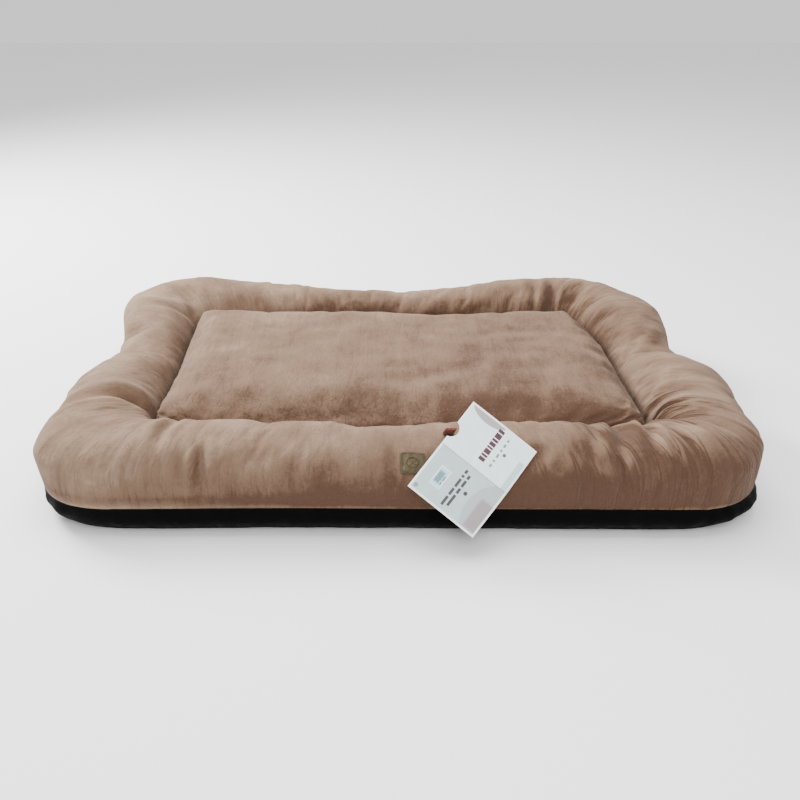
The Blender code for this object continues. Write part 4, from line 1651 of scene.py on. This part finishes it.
@dataclass
class CareLabel:
    """Folded satin label sewn into the back seam."""

    plan: BedPlan
    across: float = -0.180
    width: float = 0.030
    drop: float = 0.025
    level: float = 0.0365
    stand_off: float = 0.0088
    turn_radius: float = 0.0008
    thickness: float = 0.0004

    def build(self, material: bpy.types.Material) -> bpy.types.Object:
        """A strip that leaves the seam, hangs down, turns round a small roll and comes
        back up behind itself, with a lazy wave across it.

        Args:
            material: the label's material.

        Returns:
            The finished piece.
        """
        seam = self.plan.settle(np.append(self.plan.line((40, 104, 68), 0.002, False)[92:93],
                                          [[0.0]], axis=1))[0]
        back = seam[1] + 0.0002
        turn = np.linspace(0, math.pi, 12)
        low = self.level - self.drop
        out = np.concatenate([[-0.003, 0.0, 0.003, self.stand_off - 0.001],
                              np.full(14, self.stand_off),
                              self.stand_off - self.turn_radius * (1 - np.cos(turn)),
                              np.full(10, self.stand_off - 2 * self.turn_radius)])
        down = np.concatenate([[self.level + 0.0002, self.level + 0.0002, self.level,
                                self.level - 0.0015], np.linspace(self.level - 0.004, low, 14),
                               low - self.turn_radius * np.sin(turn),
                               np.linspace(low + 0.002, self.level - 0.004, 10)])
        side = np.linspace(-0.5, 0.5, 30)[:, None] * self.width
        length = np.concatenate([[0], np.cumsum(np.hypot(np.diff(out), np.diff(down)))])
        wave = 0.0007 * np.sin(side / self.width * 5.0 + 0.6) * np.clip(
            (self.level - down) / self.drop, 0, 1)[None, :] ** 2
        grid = np.stack(np.broadcast_arrays(self.across + side, back + out[None, :] + wave
                                            + 0.0007, down[None, :]), axis=-1)
        piece = make_object("care_label_satin", grid,
                            sheet_quads(*grid.shape[:2])[:, ::-1])
        give_plane_coordinates(piece, np.broadcast_to(side / SHEET_UNIT + 0.5, grid.shape[:2]),
                               np.broadcast_to(length[None, :] / SHEET_UNIT, grid.shape[:2]))
        thicken(piece, self.thickness)
        return attach(piece, Body.BED, "label_satin", material, "care_label")


class Half(Enum):
    """Halves of the open card: its sign up the card, its body and its part."""

    UPPER = (1, Body.TAG_UPPER, "tag_upper_panel")
    LOWER = (-1, Body.TAG_LOWER, "tag_lower_panel")


INK = (0.010, 0.009, 0.012)
MAROON = (0.060, 0.012, 0.022)
MAUVE = (0.29, 0.215, 0.235)
GREY_INK = (0.130, 0.165, 0.185)


def dashes(across: float, start: float, parts: tuple[float, ...], half: float, gap: float,
           colour: tuple[float, float, float], strength: float = 1.0) -> tuple[Mark, ...]:
    """A line of plain bars of given lengths along the card, standing for print.

    Args:
        across: the line's place across the card.
        start: where it starts along the card.
        parts: length of each bar.
        half: half the bars' height.
        gap: space between bars.
        colour: ink.
        strength: how dense the ink is.

    Returns:
        The bars.
    """
    marks, place = [], start
    for part in parts:
        marks.append(Mark(across, place + part / 2, half, part / 2, colour, strength))
        place += part + gap
    return tuple(marks)


@dataclass
class Tag:
    """Open folded card that hangs from the ribbon by its notch, with a sticker on it."""

    origin: tuple[float, float, float] = (0.0890, -0.3055, 0.0920)
    fold_way: tuple[float, float, float] = (0.7827, -0.3140, -0.5374)
    up_way: tuple[float, float, float] = (0.6127, 0.5408, 0.5763)
    bend: float = math.radians(5)
    width: float = 0.093
    length: float = 0.125
    fold_gap: float = 0.0004
    thickness: float = 0.0006
    notch_radius: float = 0.0105
    notch_level: float = 0.0205
    notch_outside: float = 0.0025
    cells: tuple[int, int] = (94, 90)
    curl: float = 0.0007
    stand_off: float = 0.0030

    def ways(self, half: Half) -> tuple[np.ndarray, np.ndarray, np.ndarray]:
        """Unit directions of a half that falls back from the fold by the bend.

        Args:
            half: which half.

        Returns:
            Along the fold, up the card and out of its printed face.
        """
        along = np.array(self.fold_way) / np.linalg.norm(self.fold_way)
        up = np.array(self.up_way)
        up = up - along * (up @ along)
        up = up / np.linalg.norm(up)
        face = np.cross(along, up)
        cosine, sine = math.cos(self.bend), math.sin(self.bend) * half.value[0]
        return along, up * cosine - face * sine, up * sine + face * cosine

    def place(self, u: np.ndarray, v: np.ndarray, out: np.ndarray, half: Half) -> np.ndarray:
        """Points in space of places on the card.

        Args:
            u: place along the fold from its middle.
            v: place up the card from the fold.
            out: height off the printed face.
            half: which half they are on.

        Returns:
            Positions.
        """
        along, slope, face = self.ways(half)
        return (np.array(self.origin) + u[..., None] * along + v[..., None] * slope
                + out[..., None] * face)

    def press(self, points: np.ndarray) -> np.ndarray:
        """Push soft cloth back behind both halves of the card, with a soft border.

        Args:
            points: positions on the cloth.

        Returns:
            The positions, none of them in front of the card.
        """
        for half in Half:
            along, slope, face = self.ways(half)
            from_fold = points - np.array(self.origin)
            u, v, out = from_fold @ along, half.value[0] * (from_fold @ slope), from_fold @ face
            away = np.hypot(np.maximum(np.abs(u) - self.width / 2 - 0.002, 0),
                            np.maximum(np.maximum(v - self.length / 2 - 0.002, -v - 0.004), 0))
            share = np.exp(-(away / 0.012) ** 2) * (out < 0.03)
            push = np.maximum(out + self.stand_off, 0) * share
            points = points - push[..., None] * face
        return points

    def panel(self, half: Half, material: bpy.types.Material) -> bpy.types.Object:
        """One half of the card: a rectangle whose left edge follows the round notch.

        Args:
            half: which half.
            material: its print.

        Returns:
            The finished piece.
        """
        sign, body, node = half.value
        reach = math.sqrt(self.notch_radius ** 2 - self.notch_outside ** 2)
        level = np.linspace(self.fold_gap / 2, self.length / 2, self.cells[1])
        if half is Half.UPPER:
            arc = self.notch_level - reach * np.cos(np.linspace(0, math.pi, 40))
            level = np.unique(np.concatenate([level, arc]))
        left = np.full(level.shape, -self.width / 2)
        if half is Half.UPPER:
            away = np.clip(self.notch_radius ** 2 - (level - self.notch_level) ** 2, 0, None)
            left = np.maximum(left, left - self.notch_outside + np.sqrt(away))
        share = np.linspace(0, 1, self.cells[0])[:, None]
        u = left[None, :] * (1 - share) + self.width / 2 * share
        v = np.broadcast_to(sign * level[None, :], u.shape)
        lift = (2 * np.abs(v) / self.length) ** 2
        out = self.curl * lift * (np.cos(u / self.width * math.pi * 1.3 + 0.4) - 0.3 * sign)
        quads = sheet_quads(*u.shape)
        piece = make_object("card_" + half.name.lower(), self.place(u, v, out, half),
                            quads if sign > 0 else quads[:, ::-1])
        give_plane_coordinates(piece, (u + self.width / 2) / self.length,
                               (v + self.length / 2) / self.length)
        thicken(piece, self.thickness)
        return attach(piece, body, "card", material, node)

    def finish(self, half: Half) -> PrintFinish:
        """The plain print of one half: blocks, bars, spots and soft tints only; the lower half's
        darker ground is painted shade.
        """
        side, top = self.width / 2, self.length / 2
        origin = (-side, -top)
        if half is Half.UPPER:
            marks = (
                Mark(-0.0200, top + 0.001, 0.0245, 0.0125, MAUVE, 0.85, True, 0.0004),
                Mark(side - 0.001, 0.020, 0.0085, 0.0200, (0.36, 0.52, 0.58), 0.7),
                *dashes(0.0005, 0.0120, (0.0048, 0.0030, 0.0062, 0.0026, 0.0050, 0.0034,
                                                 0.0068, 0.0042), 0.0040, 0.0012, MAROON),
                *dashes(0.0130, 0.0125, (0.0040, 0.0028, 0.0052, 0.0030, 0.0044, 0.0030),
                        0.0014, 0.0034, GREY_INK, 0.9),
                Mark(0.0190, 0.0340, 0.0021, 0.0021, INK, 0.9, True),
            )
            ground = (0.84, 0.97, 0.99)
        else:
            marks = (
                Mark(side + 0.004, -0.034, 0.034, 0.040, (0.36, 0.38, 0.385), 0.75, True,
                     0.0020),
                Mark(side - 0.010, -0.040, 0.0085, 0.0185, (0.21, 0.12, 0.135), 0.60, False,
                     0.0025),
                *dashes(-0.0042, -0.0553, (0.0120, 0.0090, 0.0110, 0.0032, 0.0048), 0.0017,
                        0.0022, INK),
                *dashes(0.0018, -0.0522, (0.0150, 0.0070, 0.0085, 0.0050), 0.0017, 0.0022,
                        INK),
                Mark(0.0098, -0.0290, 0.0024, 0.0024, INK, 1.0, True),
                Mark(-side + 0.006, -top + 0.007, 0.0028, 0.0028, GREY_INK, 0.8, True),
            )
            # painted shade: the lower half, bent back at the fold, gets a darker, greyer ground
            # than the upper half
            ground = (0.46, 0.56, 0.59)
        inside = Mark(0.0, half.value[0] * (top / 2 - 0.0044), side - 0.0024,
                      top / 2 + 0.0020, (0.0, 0.0, 0.0))
        return PrintFinish(ground, origin, marks, inside)

    def sticker(self) -> bpy.types.Object:
        """The price sticker on the lower half, with a plain block of bars."""
        size, middle = (0.0140, 0.0250), (-0.0235, -0.0320)
        a, b = np.meshgrid(np.linspace(-0.5, 0.5, 24), np.linspace(-0.5, 0.5, 36),
                           indexing="ij")
        u, v = middle[0] + a * size[0], middle[1] + b * size[1]
        lift = (2 * np.abs(v) / self.length) ** 2
        out = self.curl * lift * (np.cos(u / self.width * math.pi * 1.3 + 0.4) + 0.3)
        piece = make_object("price_sticker_paper",
                            self.place(u, v, out + 0.00035, Half.LOWER), sheet_quads(24, 36))
        give_plane_coordinates(piece, (a + 0.5) * size[0] / self.length,
                               (b + 0.5) * size[1] / self.length)
        thicken(piece, 0.0003)
        bars = tuple(Mark(0.0055, 0.0060 + 0.00095 * step, 0.0032 - 0.0006 * (step % 5 == 2),
                          0.00018 + 0.00012 * (step * 7 % 3), (0.03, 0.08, 0.11))
                     for step in range(14))
        print_ = PrintFinish((0.50, 0.72, 0.82), (0.0, 0.0), (
            Mark(0.0058, 0.0125, 0.0042, 0.0080, (0.13, 0.27, 0.34), 0.6), *bars,
            *dashes(0.0112, 0.0050, (0.0040, 0.0060), 0.0007, 0.0016, (0.03, 0.08, 0.11))),
            Mark(size[0] / 2, size[1] / 2, size[0] / 2 - 0.0009, size[1] / 2 - 0.0009,
                 (0.0, 0.0, 0.0)))
        return attach(piece, Body.TAG_LOWER, "sticker_paper",
                      print_.material("sticker_paper"), "price_sticker")

    def build(self) -> None:
        """Cut, print and hang both halves, and put the sticker on."""
        for half in Half:
            self.panel(half, self.finish(half).material("card_" + half.name.lower()))
        self.sticker()


@dataclass
class Ribbon:
    """Doubled ribbon that stands on the rim and carries the tag by its notch."""

    foot: tuple[float, float, float] = (0.0610, -0.2440, 0.1000)
    top: tuple[float, float, float] = (0.0640, -0.2800, 0.1290)
    width: float = 0.0120
    gap: float = 0.0011
    thickness: float = 0.0005

    def build(self, material: bpy.types.Material) -> bpy.types.Object:
        """A strip that runs up, turns round a small roll at the top and runs back down,
        spreading a little at its foot.

        Args:
            material: the satin.

        Returns:
            The finished piece.
        """
        foot, top = np.array(self.foot), np.array(self.top)
        length = float(np.linalg.norm(top - foot))
        up = (top - foot) / length
        out = np.cross([1.0, 0.0, 0.0], up)
        out /= np.linalg.norm(out)
        right = np.cross(up, out)
        rise = np.linspace(0, length - self.gap / 2, 24)
        turn = np.linspace(0, math.pi, 14)[1:-1]
        high = np.concatenate([rise, rise[-1] + self.gap / 2 * np.sin(turn), rise[::-1]])
        side = np.concatenate([np.full(24, 1.0), np.cos(turn), np.full(24, -1.0)])
        spread = self.gap / 2 * (1 + 1.6 * (1 - high / length) ** 2)
        across = np.linspace(-0.5, 0.5, 12)[None, :, None] * self.width
        grid = (foot + high[:, None, None] * up + (side * spread)[:, None, None] * out
                + across * right)
        piece = make_object("tag_ribbon_satin", grid, sheet_quads(*grid.shape[:2]))
        thicken(piece, self.thickness)
        return attach(piece, Body.BED, "ribbon", material, "tag_ribbon")


@dataclass(frozen=True)
class Studio:
    """Pale floor, soft lights and the camera."""

    eye: tuple[float, float, float] = (0.0052, -1.1322, 0.6078)
    down: float = 27.43
    lens: float = 38.67
    floor_size: float = 12.0
    floor_shade: float = 0.92
    glow: float = 1.0
    lamps: tuple[tuple[str, tuple[float, float, float], float, float], ...] = (
        ("key", (-1.6, 1.0, 1.4), 0.9, 118.0),
        ("top", (0.0, 0.3, 2.2), 1.6, 54.0),
        ("fill", (0.2, -1.7, 1.5), 1.2, 25.0),
    )

    def build(self) -> None:
        """Lay the floor, hang the lights and stand the camera."""
        half = self.floor_size / 2
        corners = np.array([[-half, -half, 0], [half, -half, 0], [half, half, 0],
                            [-half, half, 0]])
        floor = make_object("studio_floor", corners, np.array([[0, 1, 2, 3]]))
        shader = Shader("studio_floor")
        floor.data.materials.append(shader.finish((self.floor_shade,) * 3, 0.9))
        world = bpy.data.worlds.new("studio")
        bpy.context.scene.world = world
        world.use_nodes = True
        backdrop = world.node_tree.nodes["Background"]
        backdrop.inputs["Color"].default_value = (1.0, 1.0, 1.0, 1.0)
        backdrop.inputs["Strength"].default_value = self.glow
        for name, place, size, power in self.lamps:
            self.lamp(name, place, size, power)
        camera = bpy.data.objects.new("camera", bpy.data.cameras.new("camera"))
        camera.data.lens = self.lens
        camera.location = self.eye
        camera.rotation_euler = (math.radians(90 - self.down), 0.0, 0.0)
        bpy.context.scene.collection.objects.link(camera)
        bpy.context.scene.camera = camera

    def lamp(self, name: str, place: tuple[float, float, float], size: float,
             power: float) -> None:
        """Hang a square soft light that looks at the bed.

        Args:
            name: the light's name.
            place: where it hangs.
            size: its side.
            power: its power in watts.
        """
        light = bpy.data.lights.new(name, "AREA")
        light.size = size
        light.energy = power
        lamp = bpy.data.objects.new(name, light)
        lamp.location = place
        reach = math.hypot(place[0], place[1])
        lamp.rotation_euler = (math.atan2(reach, place[2]), 0.0,
                               math.atan2(place[0], -place[1]))
        bpy.context.scene.collection.objects.link(lamp)


def main() -> None:
    """Build every piece of the bed, the floor, the lights and the camera."""
    logging.basicConfig(level=logging.INFO, format="%(message)s")
    plan = BedPlan()
    plush = PlushFinish().material("plush")
    woven = WovenFinish().material("base_fabric")
    thread = ThreadFinish().material("thread")
    inflation = Inflation()
    rim = Rim(plan)
    tag = Tag()
    rim.build(inflation, plush, tag)
    Pad(plan).build(inflation, plush)
    Base(plan).build(woven)
    Stuffing(plan).build(FibreFinish().material("fibre"))
    SeamAllowance(plan).build(woven)
    ChannelThread(plan).build(thread)
    Patch(rim).build(LeatherFinish().material("patch_leather"), thread)
    label = PrintFinish((0.80, 0.80, 0.78), (-0.0625, 0.0), (
        *dashes(-0.004, 0.012, (0.004, 0.003), 0.0095, 0.002, GREY_INK, 0.5),),
        Mark(0.0, 0.04, 0.0148, 0.06, (0.0, 0.0, 0.0)))
    CareLabel(plan).build(label.material("label_satin"))
    tag.build()
    Ribbon().build(SatinFinish().material("ribbon"))
    Studio().build()


if __name__ == "__main__":
    main()
